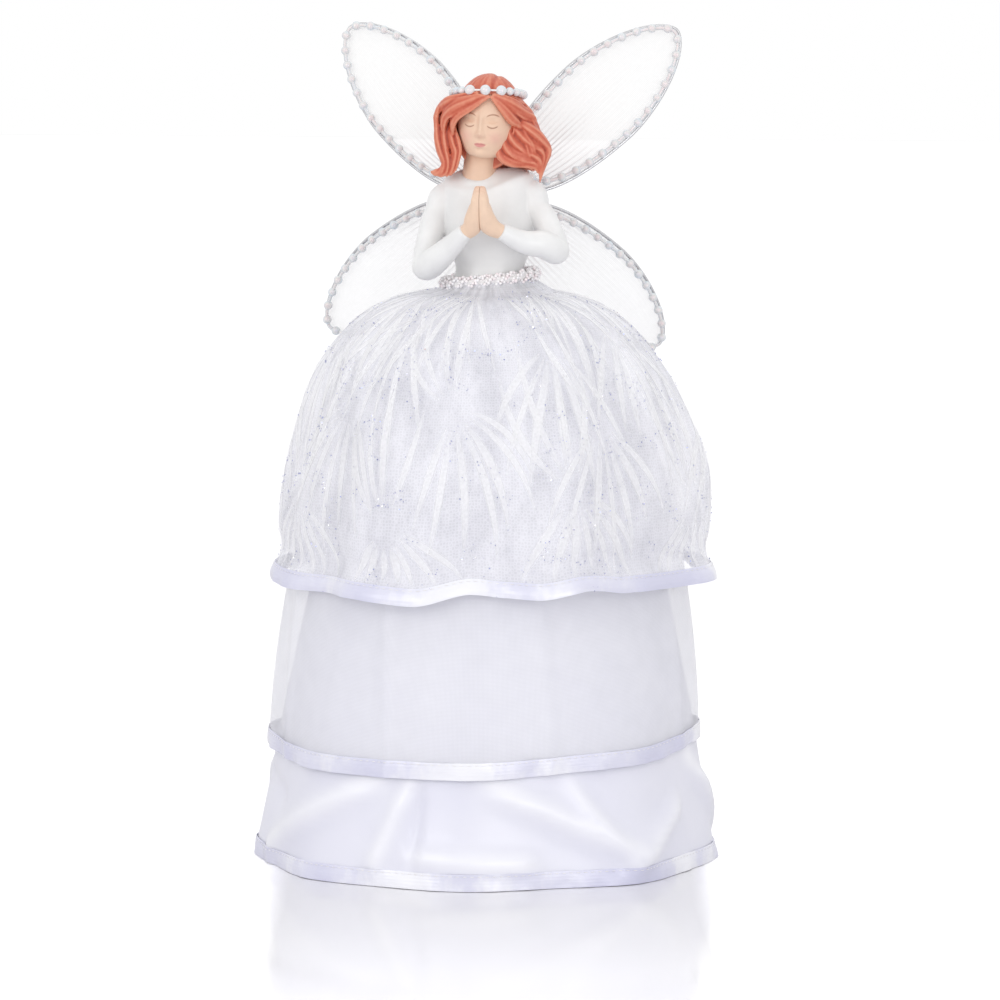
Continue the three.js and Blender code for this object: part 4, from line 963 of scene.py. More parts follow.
bust = {
    "waistHeight": 206.5, "height": 39.5, "top": 246, "shoulder": 17, "shoulderDrop": 7.9, "armRadius": 5.2,
    "elbowForward": 10, "wrist": (6.2, -23, 227.9), "neckSide": -1.6, "collarSide": -4.0, "leftRise": 0.4,
    "bosomSide": 6.3, "bosomHeight": 228, "bosomWide": 4.6, "bosomTall": 5.4, "bosomDepth": 1.7, "rings": 120,
    "sides": 96, "sleeveRings": 100, "sleeveSides": 40, "voxel": 0.4, "smoothing": 10,
    "sleeve": (4.2, 5.2, 4.8, 4.5, 4.9, 5.0, 4.2, 3.0),
    "underArm": ((12, 3, 235), (16, 0.5, 231), (20, -5.5, 227)),  # cloth under the left arm
    "underThick": (4.2, 2.6), "underBroad": (3.4, 2.2), "underRings": 30, "underSides": 24,
}
arms = {
    "right": {"side": -1, "elbowOut": 5.1, "elbowDrop": 31.4, "rise": 0, "inward": 0, "bow": -0.3},
    "left": {"side": 1, "elbowOut": 7.7, "elbowDrop": 25.4, "rise": 1.2, "inward": 1.4, "bow": -0.8},
}
torsoRings = [  # share of the height, share of the neck's offset, half width, depth in front, depth behind
    (-0.1, 0, 12.2, 12.2, 12.2), (0.0, 0, 12.4, 12.0, 11.6), (0.05, 0, 12.8, 11.4, 10.4), (0.19, 0, 12.5, 10.6, 9.2),
    (0.34, 0, 15.2, 11.2, 9.0), (0.49, 0, 17.4, 12.4, 9.2), (0.64, 0.05, 17.4, 12.0, 9.2),
    (0.77, 0.15, 16.8, 10.4, 8.8), (0.86, 0.3, 16.4, 9.0, 8.2), (0.93, 0.55, 15.0, 8.0, 7.8),
    (0.98, 0.85, 12.6, 7.3, 7.5), (1.01, 1, 10.0, 6.9, 7.2), (1.03, 1, 8.0, 6.6, 7.0), (1.045, 1, 6.9, 6.3, 6.8),
]


def torsoShape():
    rise, aside, width, front, back = smoothPath(torsoRings, bust["rings"]).T[..., None]
    angle = oneTurn(bust["sides"])
    forward = np.sin(angle) < 0
    z = bust["waistHeight"] + rise * bust["height"]
    x, y = width * np.cos(angle), np.where(forward, front, back) * np.sin(angle)
    bosom = sum(bell((x - side * bust["bosomSide"]) / bust["bosomWide"],
                     (z - bust["bosomHeight"]) / bust["bosomTall"]) for side in (-1, 1))
    y = np.where(y < 0, y - bust["bosomDepth"] * bosom, y)
    dip = smoothStep(rise, 0.86, 1.02) * np.where(forward, 3.2, 1.2) * np.sin(angle)  # the neckline, lower in front
    x = x + aside * bust["collarSide"]
    raised = bust["leftRise"] * np.maximum(x, 0) * smoothStep(rise, 0.72, 0.9)  # the left shoulder is the higher
    return np.stack([x, y, z + dip + raised], -1).reshape(-1, 3), tubeFaces(bust["rings"], bust["sides"])


def armPath(arm):
    reach = bust["armRadius"]
    shoulder = np.array([bust["shoulder"] - 0.1 * reach - arm["inward"], 0,
                         bust["top"] - bust["shoulderDrop"] + arm["rise"]])
    elbow = np.array([bust["shoulder"] + arm["elbowOut"], -bust["elbowForward"], bust["top"] - arm["elbowDrop"]])
    wrist = np.array(bust["wrist"])
    middle = np.array([elbow[0], elbow[1], (shoulder[2] + elbow[2]) / 2])
    points = [shoulder, shoulder + reach * np.array([0.4, -0.4, -0.95]),
              middle + reach * np.array([arm["bow"], 0.9, 0.1]), elbow, elbow + reach * np.array([-0.75, -0.9, 0.4]),
              blend(wrist, elbow, 0.42) + reach * np.array([0, -0.19, -0.2]), wrist]
    return np.array(points) * (arm["side"], 1, 1)


def sleeveShape(arm):
    count = bust["sleeveRings"]
    path = armPath(arm)
    inside = path[0] - (arm["side"] * 6, 0, -1.2 - 0.8 * arm["rise"])
    share = np.linspace(0, 1, count)
    crease = 0.2 * bell((share - 0.57) / 0.07) * np.cos(75 * share)  # the bent elbow wrinkles
    radius = smoothValues(bust["sleeve"], count) + crease
    return sweepTube(smoothPath(np.vstack([inside, path]), count), radius, (0, 0.3, 1), bust["sleeveSides"])


def bodicePiece():
    count = bust["underRings"]
    under = sweepTube(smoothPath(bust["underArm"], count), np.linspace(*bust["underThick"], count), (1, 0, 0),
                      bust["underSides"], across=np.linspace(*bust["underBroad"], count))
    shapes = [torsoShape(), *map(sleeveShape, arms.values()), under]
    piece = fuse(meshPiece("bodice", *joinShapes(shapes), whitePaint), bust["voxel"], bust["smoothing"])
    belongs(piece, "white_paint", "torso_casting", "right_arm", "left_arm")


bodicePiece()
print("bodice cast")


# hands, palm to palm

handShape = {"seam": -1.0, "gap": 0.06, "voxel": 0.24, "smoothing": 2, "palmRings": 30, "palmSides": 24,
             "fingerRings": 24, "thumbRings": 18, "fingerSides": 14,
             "palmThick": (2.3, 3.3, 3.5, 2.7, 2.1), "palmBroad": (2.4, 2.9, 3.8, 3.8, 3.3),
             "fingerTips": (14.4, 15.7, 16.1, 15.3), "fingerGirth": ((0, 0.6, 0.9, 1), (1.4, 1.2, 0.92, 0.35)),
             "fingerThick": 1.6, "fingerBroad": 0.85, "thumbGirth": ((0, 0.5, 0.85, 1), (1.6, 1.35, 1.0, 0.4)),
             "color": paint(236, 206, 182), "blush": paint(228, 180, 158)}


def handPiece(name, arm):
    side, seam = arm["side"], handShape["seam"]
    path = armPath(arm)
    wrist = path[-1]

    def at(across, forward, up, shift=1.0):
        return side * across + shift * seam, wrist[1] + forward, wrist[2] + up

    rings, fingerSides = handShape["palmRings"], handShape["fingerSides"]
    palm = smoothPath([blend(wrist, path[-2], 0.3), at(3.8, -0.5, 1.2, 0.4), at(2.1, -1.2, 4.3), at(1.4, -1.7, 8.2),
                       at(1, -1.9, 10)], rings)
    shapes = [sweepTube(palm, smoothValues(handShape["palmThick"], rings), (1, 0, 0), handShape["palmSides"],
                        across=smoothValues(handShape["palmBroad"], rings))]
    girth = np.interp(np.linspace(0, 1, handShape["fingerRings"]), *handShape["fingerGirth"])
    for k, tip in enumerate(handShape["fingerTips"]):
        spread = k - 1.5
        line = smoothPath([at(1.3, -1.1 + 1.4 * spread, 3.2), at(1, -1.9 + 1.65 * spread, 10.5),
                           at(0.5, -2.0 + 1.05 * spread, tip - 1.6), at(0.15, -2.0 + 0.8 * spread, tip)], len(girth))
        shapes.append(sweepTube(line, handShape["fingerThick"] * girth, (1, 0, 0), fingerSides,
                                across=handShape["fingerBroad"] * girth))
    girth = np.interp(np.linspace(0, 1, handShape["thumbRings"]), *handShape["thumbGirth"])
    thumb = smoothPath([at(3.0, 1.4, 3.0), at(2.0, 2.2, 6.0), at(1.2, 2.6, 9.2)], len(girth))
    shapes.append(sweepTube(thumb, girth, (1, 0, 0), fingerSides))
    piece = fuse(meshPiece(name + "Hand", *joinShapes(shapes), skinPaint), handShape["voxel"],
                 handShape["smoothing"])
    places = readVertices(piece, "co") / mm
    places[:, 0] = seam + side * np.maximum(side * (places[:, 0] - seam), handShape["gap"])  # palms meet on one plane
    piece.data.vertices.foreach_set("co", (places * mm).ravel())
    # the grooves between the fingers take the darker blush colour as painted shade; the fingertips are blushed pink
    groove = np.clip(-hollowShare(piece, 8), 0, 1)
    tips = smoothStep(places[:, 2], wrist[2] + 12, wrist[2] + 16) * 0.35
    creaseShadeAndTipBlush = np.clip(0.75 * groove + tips, 0, 1)[:, None]
    setColor(piece, "skinColor", blend(handShape["color"], handShape["blush"], creaseShadeAndTipBlush))
    belongs(piece, "skin_paint", name + "_hand")


for handName, handArm in arms.items():
    handPiece(handName, handArm)
print("hands joined")


# head and neck

head = {"half": np.array([10.6, 12.6, 16.6]), "turn": -3, "lean": 4, "neckLength": 4.5, "base": 246.3,
        "middle": np.array([0, -2, 18.7]), "columns": 264, "rows": 230,
        "neckLine": ((-2.4, 0.2, -5.5), (-2.4, 0.1, -3), (-2.2, -0.2, 0.6), (-1.7, 0.4, 5.5), (-1.0, 0.8, 11.5)),
        "neckRadius": (6.9, 6.6, 6.1, 6.1, 6.7), "neckDepth": 0.96, "neckRings": 40, "neckSides": 64}


def turned(degrees, axis):
    return Matrix.Rotation(math.radians(degrees), 4, axis)


def placed(points, place):
    place = np.array(place)
    return np.asarray(points) @ place[:3, :3].T + place[:3, 3]


neckPlace = Matrix.Translation((bust["neckSide"], 0, head["base"])) @ turned(head["turn"], "Z")
headPlace = (neckPlace @ Matrix.Translation((0, 0, head["neckLength"])) @ turned(head["lean"], "Y")
             @ Matrix.Translation((0, 0, -head["neckLength"])))
faceForms = [  # across and up in half sizes of the head, half width, half height, raised by millimetres
    (0.0, 0.42, 0.55, 0.24, 0.4), (0.35, 0.21, 0.26, 0.06, 0.3), (0.39, 0.1, 0.22, 0.1, -0.8),
    (0.39, 0.02, 0.19, 0.07, 0.7), (0.14, 0.1, 0.07, 0.12, -0.3), (0.0, 0.08, 0.09, 0.2, 0.6),
    (0.0, -0.08, 0.1, 0.13, 0.8), (0.0, -0.19, 0.12, 0.07, 1.5), (0.12, -0.215, 0.07, 0.045, 0.5),
    (0.0, -0.31, 0.06, 0.05, -0.15), (0.07, -0.385, 0.1, 0.028, 0.4), (0.0, -0.46, 0.14, 0.035, 0.6),
    (0.0, -0.42, 0.18, 0.012, -0.3), (0.0, -0.54, 0.18, 0.04, -0.4), (0.0, -0.67, 0.24, 0.11, 1.1),
    (0.52, -0.2, 0.28, 0.24, 0.6),
]
facePaint = {"aside": -0.045, "jawFlat": -0.58, "mouth": -0.42, "eye": 0.39, "skin": paint(236, 203, 178),
             "blush": paint(236, 184, 168), "lips": paint(222, 146, 143), "lash": paint(146, 94, 70),
             "brow": paint(152, 98, 72), "shade": paint(226, 190, 164)}


def facePoint(around, rise):
    jaw = 1 - 0.3 * np.maximum(0, -np.sin(rise)) ** 1.6
    x = np.cos(rise) * jaw * np.cos(around)
    y = np.cos(rise) * np.sin(around)
    z = np.sin(rise) + 0 * x
    flat = facePaint["jawFlat"]
    z = np.where(z < flat, flat - 0.17 * (1 - np.exp(-np.maximum(flat - z, 0) / 0.17)), z)  # the jaw is flat underneath
    push = np.zeros_like(x)
    for across, up, wide, tall, raised in faceForms:
        for side in ((-1, 1) if across else (1,)):
            push = push + raised * bell((x - facePaint["aside"] - side * across) / wide, (z - up) / tall)
    skin = np.stack([x, y, z], -1) * head["half"]
    outward = unit(skin) * (0.25, 1, 0.25)
    return skin + outward * (push * smoothStep(-y, 0.0, 0.25))[..., None] + head["middle"], x, z, y


def faceColor(x, z, y):
    color = np.broadcast_to(facePaint["skin"], x.shape + (3,)).copy()

    def brush(name, amount):
        color[:] = blend(color, facePaint[name], (np.clip(amount, 0, 1) * (y < 0))[..., None])

    def arch(offset, half):
        return np.clip(1 - (offset / half) ** 2, 0, 1)

    wide = np.abs(x - facePaint["aside"])
    fromEye = wide - facePaint["eye"]
    line = facePaint["mouth"]
    brush("shade", 0.5 * bell(fromEye / 0.22, (z - 0.11) / 0.06))
    brush("blush", 0.6 * bell((wide - 0.5) / 0.22, (z + 0.26) / 0.14))
    brush("blush", 0.25 * bell(wide / 0.12, (z + 0.23) / 0.05))
    mouth = arch(wide, 0.2)
    upper = line + 0.042 * mouth ** 0.8 * (1 - 0.25 * bell(wide / 0.04))
    lower = line - 0.052 * mouth ** 0.7
    brush("lips", 0.9 * smoothStep(upper - z, -0.012, 0.012) * smoothStep(z - lower, -0.012, 0.012) * (mouth > 0))
    brush("lash", 0.4 * bell((z - line) / 0.007) * (mouth > 0.1))
    lid = 0.005 - 0.05 * arch(fromEye, 0.19)
    onLid = smoothStep(0.19 - np.abs(fromEye), 0.0, 0.05)
    brush("lash", 0.95 * bell((z - lid) / 0.0125) * onLid)
    brush("shade", 0.8 * bell((z - lid - 0.1) / 0.011) * onLid)
    brow = 0.17 + 0.07 * arch(wide - 0.4, 0.26)
    brush("brow", 0.95 * bell((z - brow) / 0.013) * smoothStep(0.24 - np.abs(fromEye), 0.0, 0.1))
    return color


def risingRows(rows):  # from just above the lowest point to just under the highest
    return (-math.pi / 2 + math.pi * np.arange(1, rows) / rows)[:, None]


def headPiece():
    columns, rows = head["columns"], head["rows"]
    share = np.linspace(-0.5, 0.5, columns, endpoint=False)
    around = -math.pi / 2 + tau * share - 0.5 * np.sin(tau * share)  # closer together in front
    skin, *where = facePoint(around, risingRows(rows))
    rings, sides = head["neckRings"], head["neckSides"]
    radius = smoothValues(head["neckRadius"], rings)
    points, faces = sweepTube(smoothPath(head["neckLine"], rings), radius * head["neckDepth"], (0, 1, 0), sides,
                              across=radius)
    chinSide = np.tile(np.cos(oneTurn(sides)) < 0.2, rings)
    under = (smoothStep(points[:, 2], 2.5, 7) * 0.5 * chinSide)[:, None]
    piece = meshPiece("headAndNeck", *joinShapes([
        (placed(skin.reshape(-1, 3), headPlace), tubeFaces(rows - 1, columns)),
        (placed(points, neckPlace), faces)]), skinPaint)
    setColor(piece, "skinColor", np.vstack([faceColor(*where).reshape(-1, 3),
                                            blend(facePaint["skin"], facePaint["shade"], under)]))
    belongs(piece, "skin_paint", "head_casting")


headPiece()
print("head painted")


# hair: a cap and fluted locks, fused into one casting

hair = {"voxel": 0.3, "smoothing": 4, "fuller": 1.18, "columns": 160, "rows": 100, "partSide": 2.1, "partDepth": 0.6,
        "lockSides": 48, "ringsAStep": 16}
capMiddle = head["middle"] + (0, 1.6, 0.4)
capHalf = head["half"] + (2.0, 2.4, 0.8)
frontLocks = [  # path in half sizes of the head, and half breadths in millimetres
    ([(0.23, -0.98, 0.64), (0.5, -0.9, 0.51), (0.76, -0.78, 0.33), (0.95, -0.64, 0.17), (1.1, -0.48, 0.08),
      (1.26, -0.38, -0.03)], (0.55, 1.35, 1.75, 1.75, 1.3, 0.4)),
    ([(0.28, -0.97, 0.67), (0.63, -0.83, 0.58), (0.94, -0.61, 0.45), (1.22, -0.25, 0.28), (1.5, 0.05, 0.16),
      (1.65, 0.12, 0.05)], (0.6, 1.55, 2.15, 2.3, 1.95, 0.8)),
    ([(0.5, -0.88, 0.66), (0.9, -0.5, 0.55), (1.12, 0.05, 0.44), (1.36, 0.1, 0.31), (1.52, 0.1, 0.15),
      (1.62, 0.1, 0.03)], (0.7, 1.4, 1.75, 1.75, 1.55, 0.8)),
    ([(1.1, -0.36, 0.14), (1.45, -0.27, 0), (1.77, -0.15, -0.16), (2.05, 0.05, -0.37), (2.13, 0.08, -0.53),
      (2.03, 0.02, -0.77), (1.98, -0.07, -0.98), (1.94, -0.1, -1.19)], (1.15, 1.75, 1.95, 1.75, 1.55, 1.35, 0.85, 0.3)),
    ([(0.94, -0.4, 0.07), (1.2, -0.34, -0.13), (1.55, -0.25, -0.31), (1.87, -0.1, -0.44), (1.98, -0.02, -0.6),
      (1.96, -0.06, -0.81), (1.95, -0.09, -1), (1.94, -0.1, -1.16)], (1.15, 1.75, 1.95, 1.75, 1.55, 1.35, 0.85, 0.3)),
    ([(0.83, -0.42, -0.06), (0.98, -0.4, -0.26), (1.28, -0.33, -0.43), (1.64, -0.22, -0.54), (1.86, -0.13, -0.67),
      (1.92, -0.1, -0.86), (1.94, -0.1, -1.02)], (1.15, 1.75, 1.95, 1.95, 1.65, 1.1, 0.4)),
    ([(0.75, -0.43, -0.18), (0.74, -0.44, -0.36), (0.97, -0.4, -0.54), (1.38, -0.32, -0.64), (1.7, -0.21, -0.72),
      (1.85, -0.14, -0.86), (1.92, -0.1, -1)], (1.15, 1.75, 2.1, 2, 1.55, 1, 0.4)),
    ([(0.7, -0.45, -0.25), (0.58, -0.46, -0.44), (0.66, -0.46, -0.65), (1.03, -0.4, -0.76), (1.46, -0.3, -0.78),
      (1.75, -0.2, -0.84), (1.88, -0.13, -0.98)], (1.1, 1.5, 1.75, 1.75, 1.4, 1, 0.4)),
    ([(0.19, -0.99, 0.64), (-0.1, -1.04, 0.53), (-0.45, -1.03, 0.37), (-0.75, -0.97, 0.24), (-0.94, -0.88, 0.11),
      (-1.04, -0.76, -0.06), (-1.05, -0.6, -0.26)], (0.55, 1, 1.4, 1.55, 1.45, 1.2, 0.6)),
    ([(0.07, -1.02, 0.66), (-0.36, -1.04, 0.56), (-0.77, -0.97, 0.43), (-1.1, -0.82, 0.28), (-1.3, -0.67, 0.13),
      (-1.39, -0.56, -0.08), (-1.36, -0.48, -0.34)], (0.5, 1.4, 2.1, 2.3, 1.95, 1.6, 0.7)),
    ([(-0.2, -1, 0.7), (-0.9, -0.88, 0.55), (-1.26, -0.72, 0.44), (-1.57, -0.36, 0.26), (-1.75, -0.05, 0.08),
      (-1.72, -0.05, -0.13)], (0.55, 1.2, 1.65, 1.65, 1.4, 1.3)),
    ([(-1.59, -0.45, 0.29), (-1.67, -0.43, 0.1), (-1.64, -0.43, -0.18), (-1.57, -0.44, -0.46), (-1.43, -0.46, -0.71),
      (-1.3, -0.48, -0.89), (-1.37, -0.46, -1.06), (-1.58, -0.42, -1.13), (-1.76, -0.38, -1.12)],
     (1.15, 1.3, 1.3, 1.5, 1.5, 1.3, 1.3, 1.1, 0.4)),
    ([(-1.35, -0.48, 0.16), (-1.4, -0.47, -0.07), (-1.37, -0.47, -0.35), (-1.28, -0.48, -0.63), (-1.18, -0.5, -0.86),
      (-1.2, -0.48, -1.05), (-1.36, -0.46, -1.15), (-1.55, -0.43, -1.17)], (1.4, 1.55, 1.65, 1.65, 1.5, 1.4, 1, 0.4)),
    ([(-1.1, -0.5, 0.04), (-1.16, -0.5, -0.2), (-1.08, -0.5, -0.43), (-0.96, -0.5, -0.64), (-0.98, -0.5, -0.85),
      (-1.05, -0.5, -1.04), (-1.2, -0.48, -1.18)], (1.15, 1.5, 1.65, 1.7, 1.55, 1.3, 0.55)),
    ([(-1.05, -0.5, -0.1), (-0.96, -0.5, -0.28), (-0.85, -0.52, -0.46), (-0.81, -0.52, -0.63), (-0.85, -0.52, -0.82),
      (-0.92, -0.5, -1), (-1.06, -0.5, -1.16)], (0.85, 1.25, 1.3, 1.25, 1.15, 1, 0.4)),
]
sideLocks = [
    ([(0.9, -0.15, 0.3), (1.2, -0.18, 0.02), (1.5, -0.08, -0.3), (1.62, -0.05, -0.6), (1.7, -0.06, -0.86)],
     (1.5, 2.6, 3.6, 3.4, 1.4)),
    ([(0.65, 0.1, 0.4), (1.28, 0.15, 0.2), (1.58, 0.2, -0.2), (1.7, 0.2, -0.6), (1.6, 0.1, -0.95)],
     (1.4, 3.3, 4, 3.6, 1.6)),
    ([(-0.9, -0.3, 0.3), (-1.25, -0.3, 0), (-1.35, -0.28, -0.4), (-1.2, -0.3, -0.75), (-1.12, -0.32, -1.02)],
     (1.5, 2.6, 3, 2.6, 1.4)),
    ([(-0.65, 0.1, 0.4), (-1.35, 0.05, 0.2), (-1.55, 0.1, -0.2), (-1.5, 0.1, -0.6), (-1.35, 0, -0.98)],
     (1.4, 3.4, 3.8, 3.4, 1.6)),
]
backLocks = [
    ([(0.3, 0.8, 0.5), (0.95, 0.7, 0.08), (1.32, 0.58, -0.42), (1.25, 0.5, -0.96)], (2, 4.6, 6, 3)),
    ([(-0.3, 0.8, 0.5), (-0.95, 0.7, 0.08), (-1.32, 0.58, -0.42), (-1.25, 0.5, -0.96)], (2, 4.6, 6, 3)),
    ([(0, 0.8, 0.7), (0.3, 0.92, 0.1), (0.35, 0.78, -0.5), (0.45, 0.62, -0.98)], (4, 6, 6, 3.4)),
    ([(0, 0.8, 0.7), (-0.35, 0.92, 0.1), (-0.4, 0.78, -0.5), (-0.3, 0.62, -0.94)], (4, 6, 6, 3.4)),
]
lockKinds = [(frontLocks, 0.62, 6), (sideLocks, 0.55, 6), (backLocks, 0.55, 9)]  # thickness for the breadth, flutes


def capShape():
    columns, rows = hair["columns"], hair["rows"]
    a, r = oneTurn(columns), risingRows(rows)
    comb = (0.005 * np.cos(19 * a + 3.0 * np.sin(r * 2.0) + 1.6 * np.sin(3 * a))
            + 0.004 * np.cos(34 * a - 2.0 * np.sin(r * 3.0) + 2.2 * np.sin(2 * a + 1))) * np.cos(r) ** 0.5
    x, y, z = np.moveaxis(polar(np.cos(r), a, np.sin(r)) * capHalf * (1 + comb)[..., None], -1, 0)
    parting = bell((x - hair["partSide"]) / 0.9) * smoothStep(z, 6, 14)  # along the crown
    z = z - hair["partDepth"] * parting
    rise = np.clip((z - 1.5) / 9, 0, 1)
    opening = np.abs(x - hair["partSide"] * rise) < 10.4 * (1 - rise ** 1.3)
    face = opening & (y < 2) & (z < 10.5)
    y = np.where(face, np.maximum(y, -2.5), y)  # the cap stays behind the face
    return np.stack([x, y, z], -1).reshape(-1, 3) + capMiddle, tubeFaces(rows - 1, columns)


def lockShape(path, breadths, thickness, flutes):
    count = hair["ringsAStep"] * len(path)
    line = smoothPath(np.array(path) * head["half"] + head["middle"], count)
    wide = np.maximum(hair["fuller"] * smoothValues(breadths, count), 0.3)
    up = unit((line - head["middle"]) * (1, 1, 0.15))

    def flute(share, angle):
        wave = np.cos(flutes * angle + 3 * share + 0.6 * np.sin(7 * share))
        return 1 + 0.07 * wave + 0.05 * np.cos(2 * flutes * angle + 5 * share + 0.7 * np.sin(11 * share))

    return sweepTube(line, wide * thickness, up, hair["lockSides"], across=wide, flute=flute)


def hairPiece():
    shapes = [capShape()] + [lockShape(*lock, *kind) for locks, *kind in lockKinds for lock in locks]
    points, faces = joinShapes(shapes)
    piece = fuse(meshPiece("hair", placed(points, headPlace), faces, hairPaint), hair["voxel"], hair["smoothing"])
    # darker in the grooves and lighter on the ridges: painted shade and painted highlight
    setNumber(piece, "lockShadeAndHighlight", 0.44 + 0.28 * hollowShare(piece, 12) + 0.2 * hollowShare(piece, 4))
    belongs(piece, "hair_paint", "hair_casting")
    print("hair cast:", len(piece.data.polygons), "faces")


hairPiece()


# headband of pearls

headband = {"largePitch": 5.8, "gap": 0.2, "rise": 10, "reach": 1.02, "tilt": 9, "sideEase": 0.7, "roll": -4,
            "shift": 1.2, "stand": 1.5, "steps": 720, "stringSteps": 400, "frontSteps": 60}
smallPearls = {"radius": 1.5, "spacing": 3.35, "thread": 0.35, "spread": 0.05, "seed": 3, "detail": (20, 12),
               "finish": pearlLustre, "threadFinish": whiteThread}
largePearl = {"radius": 1.9, "spacing": 1000, "thread": 0.1, "spread": 0.0, "seed": 1, "detail": (32, 20),
              "finish": pearlLustre, "threadFinish": whiteThread}


def headbandLine():
    angle = oneTurn(headband["steps"]) - math.pi / 2
    reach = headband["reach"] * math.sqrt(1 - (headband["rise"] / capHalf[2]) ** 2)
    x = np.cos(angle) * (capHalf[0] * reach + headband["stand"] + headband["sideEase"])
    y = np.sin(angle) * (capHalf[1] * reach + headband["stand"])
    z = headband["rise"] - y * math.tan(math.radians(headband["tilt"]))
    return placed(placed(np.stack([x, y, z], -1), turned(headband["roll"], "Y")) + capMiddle, headPlace)


def addHeadband():
    line = headbandLine()
    loop = np.vstack([line, line[:1]])
    reach = runLength(loop)
    total = reach[-1]

    def at(places):
        return alongLine((np.asarray(places) + headband["shift"]) % total, reach, loop)

    clear = headband["largePitch"] + largePearl["radius"] + smallPearls["radius"] + headband["gap"]
    behind = at(np.linspace(clear, total - clear, headband["stringSteps"]))
    belongs(stringBeads("headbandString", [behind], smallPearls), "pearl", "headband_pearl_string")
    inFront = at(np.linspace(-clear, clear, headband["frontSteps"]))
    thread = sweepTube(inFront, smallPearls["thread"], (0, 0, 1), 8)
    belongs(meshPiece("headbandFrontThread", *thread, whiteThread), "thread")
    for name, step in (("right", -1), ("centre", 0), ("left", 1)):
        middle = at([step * headband["largePitch"]])[0]
        pearl = stringBeads("headbandPearl" + name.capitalize(),
                            [np.array([middle - (0, 0, 0.01), middle + (0, 0, 0.01)])], largePearl)
        belongs(pearl, "pearl", "headband_pearl_" + name)


addHeadband()
print("headband strung")


# belt of seed beads

belt = {"halfWidth": 13.2, "front": 11.4, "back": 10.4, "clear": 2.8, "height": 209.2, "slant": 6.5, "strands": 3,
        "twists": 7, "twistRadius": 1.5, "pairTwists": 31, "pairRadius": 0.7, "coreRadius": 1.4, "steps": 900}
beltBeads = {"radius": 0.7, "spacing": 1.3, "thread": 0.12, "spread": 0.25, "detail": (9, 6), "finish": seedBead,
             "threadFinish": whiteThread}


def addBelt():
    angle = oneTurn(belt["steps"])
    x = (belt["halfWidth"] + belt["clear"]) * np.cos(angle)
    y = (np.where(np.sin(angle) < 0, belt["front"], belt["back"]) + belt["clear"]) * np.sin(angle)
    middle = np.stack([x, y, belt["height"] + x * math.tan(math.radians(belt["slant"]))], -1)
    for index in range(belt["strands"]):
        turn = belt["twists"] * angle + tau * index / belt["strands"]
        lines = []
        for pair in range(2):
            roll = belt["pairTwists"] * angle + math.pi * pair + index
            out = belt["twistRadius"] * np.cos(turn) + belt["pairRadius"] * np.cos(roll)
            up = belt["twistRadius"] * np.sin(turn) + belt["pairRadius"] * np.sin(roll)
            lines.append(middle + polar(out, angle, up))
        number = str(index + 1)
        strand = stringBeads("beltStrand" + number, lines, {**beltBeads, "seed": 20 + index}, True)
        belongs(strand, "seed_bead", "belt_bead_strand_" + number)
    core = sweepTube(middle, belt["coreRadius"], (0, 0, 1), 16, True)  # the cord that the strands are twisted round
    belongs(meshPiece("beltCord", *core, whiteThread), "thread")


addBelt()
print("belt strung")


# wings

wingLook = {"wireRadius": 0.6, "stemRadius": 0.9, "ballRadius": 1.3, "coverStart": 4.9, "coverInset": 0.5,
            "pleats": 17, "pearlStart": 8.6, "pearlInset": 1.4, "bindingStart": 1.9, "bindingEnd": 4.1,
            "bindingRadius": 1.5, "bindingThread": 0.32, "bindingTurns": 6, "columns": 121,
            "steps": 60, "widest": 0.52, "wireStep": 0.8, "pearlStep": 0.6, "pearlTrim": 6, "bindingSteps": 260}
wingBeads = {"radius": 1.65, "spacing": 5.6, "thread": 0.65, "spread": 0.06, "seed": 7, "detail": (16, 10),
             "finish": pearlLustre, "threadFinish": pearlLustre}


def wingHalf(start, inset):  # along and out, from the root to the tip
    steps = wingLook["steps"]
    end, halfWidth = wingSize["length"] - inset, wingSize["halfWidth"] - inset
    widest = blend(start, end, wingLook["widest"])
    share = np.linspace(0, 1, steps, endpoint=False) ** 2.2
    turn = np.linspace(0, math.pi / 2, steps)
    x = np.concatenate([blend(start, widest, share), blend(widest, end, np.sin(turn) ** 1.18)])
    y = halfWidth * np.concatenate([np.sin(math.pi / 2 * share) ** 0.31, np.clip(np.cos(turn), 0, 1) ** 1.2])
    return x, y


def wingLoop(start, inset, front, step):
    x, y = wingHalf(start, inset)
    there, back = (np.stack([x, side * y, np.full_like(x, front)], -1) for side in (1, -1))
    return evenPath(np.vstack([there, back[::-1][1:]]), step)


def toFigure(points, name):
    *directions, root = wingPlace(name)
    return np.asarray(points) @ np.stack(directions) + root


def wingWire(name):
    loop = wingLoop(wingSize["stem"], 0, 0, wingLook["wireStep"])
    along = np.linspace(-wingLook["ballRadius"], wingSize["stem"] + 1.2, 40)
    ball = np.sqrt(np.clip(wingLook["ballRadius"] ** 2 - along ** 2, 0.01, None))
    radius = np.maximum(np.where(along < wingLook["ballRadius"], ball, 0),
                        np.where(along > 0, wingLook["stemRadius"], 0.02))
    points, faces = joinShapes([sweepTube(loop, wingLook["wireRadius"], (0, 0, 1), 12),
                                sweepTube(along[:, None] * (1, 0, 0), radius, (0, 0, 1), 20)])
    return meshPiece(name + "WingWire", toFigure(points, name), faces, silverWire)


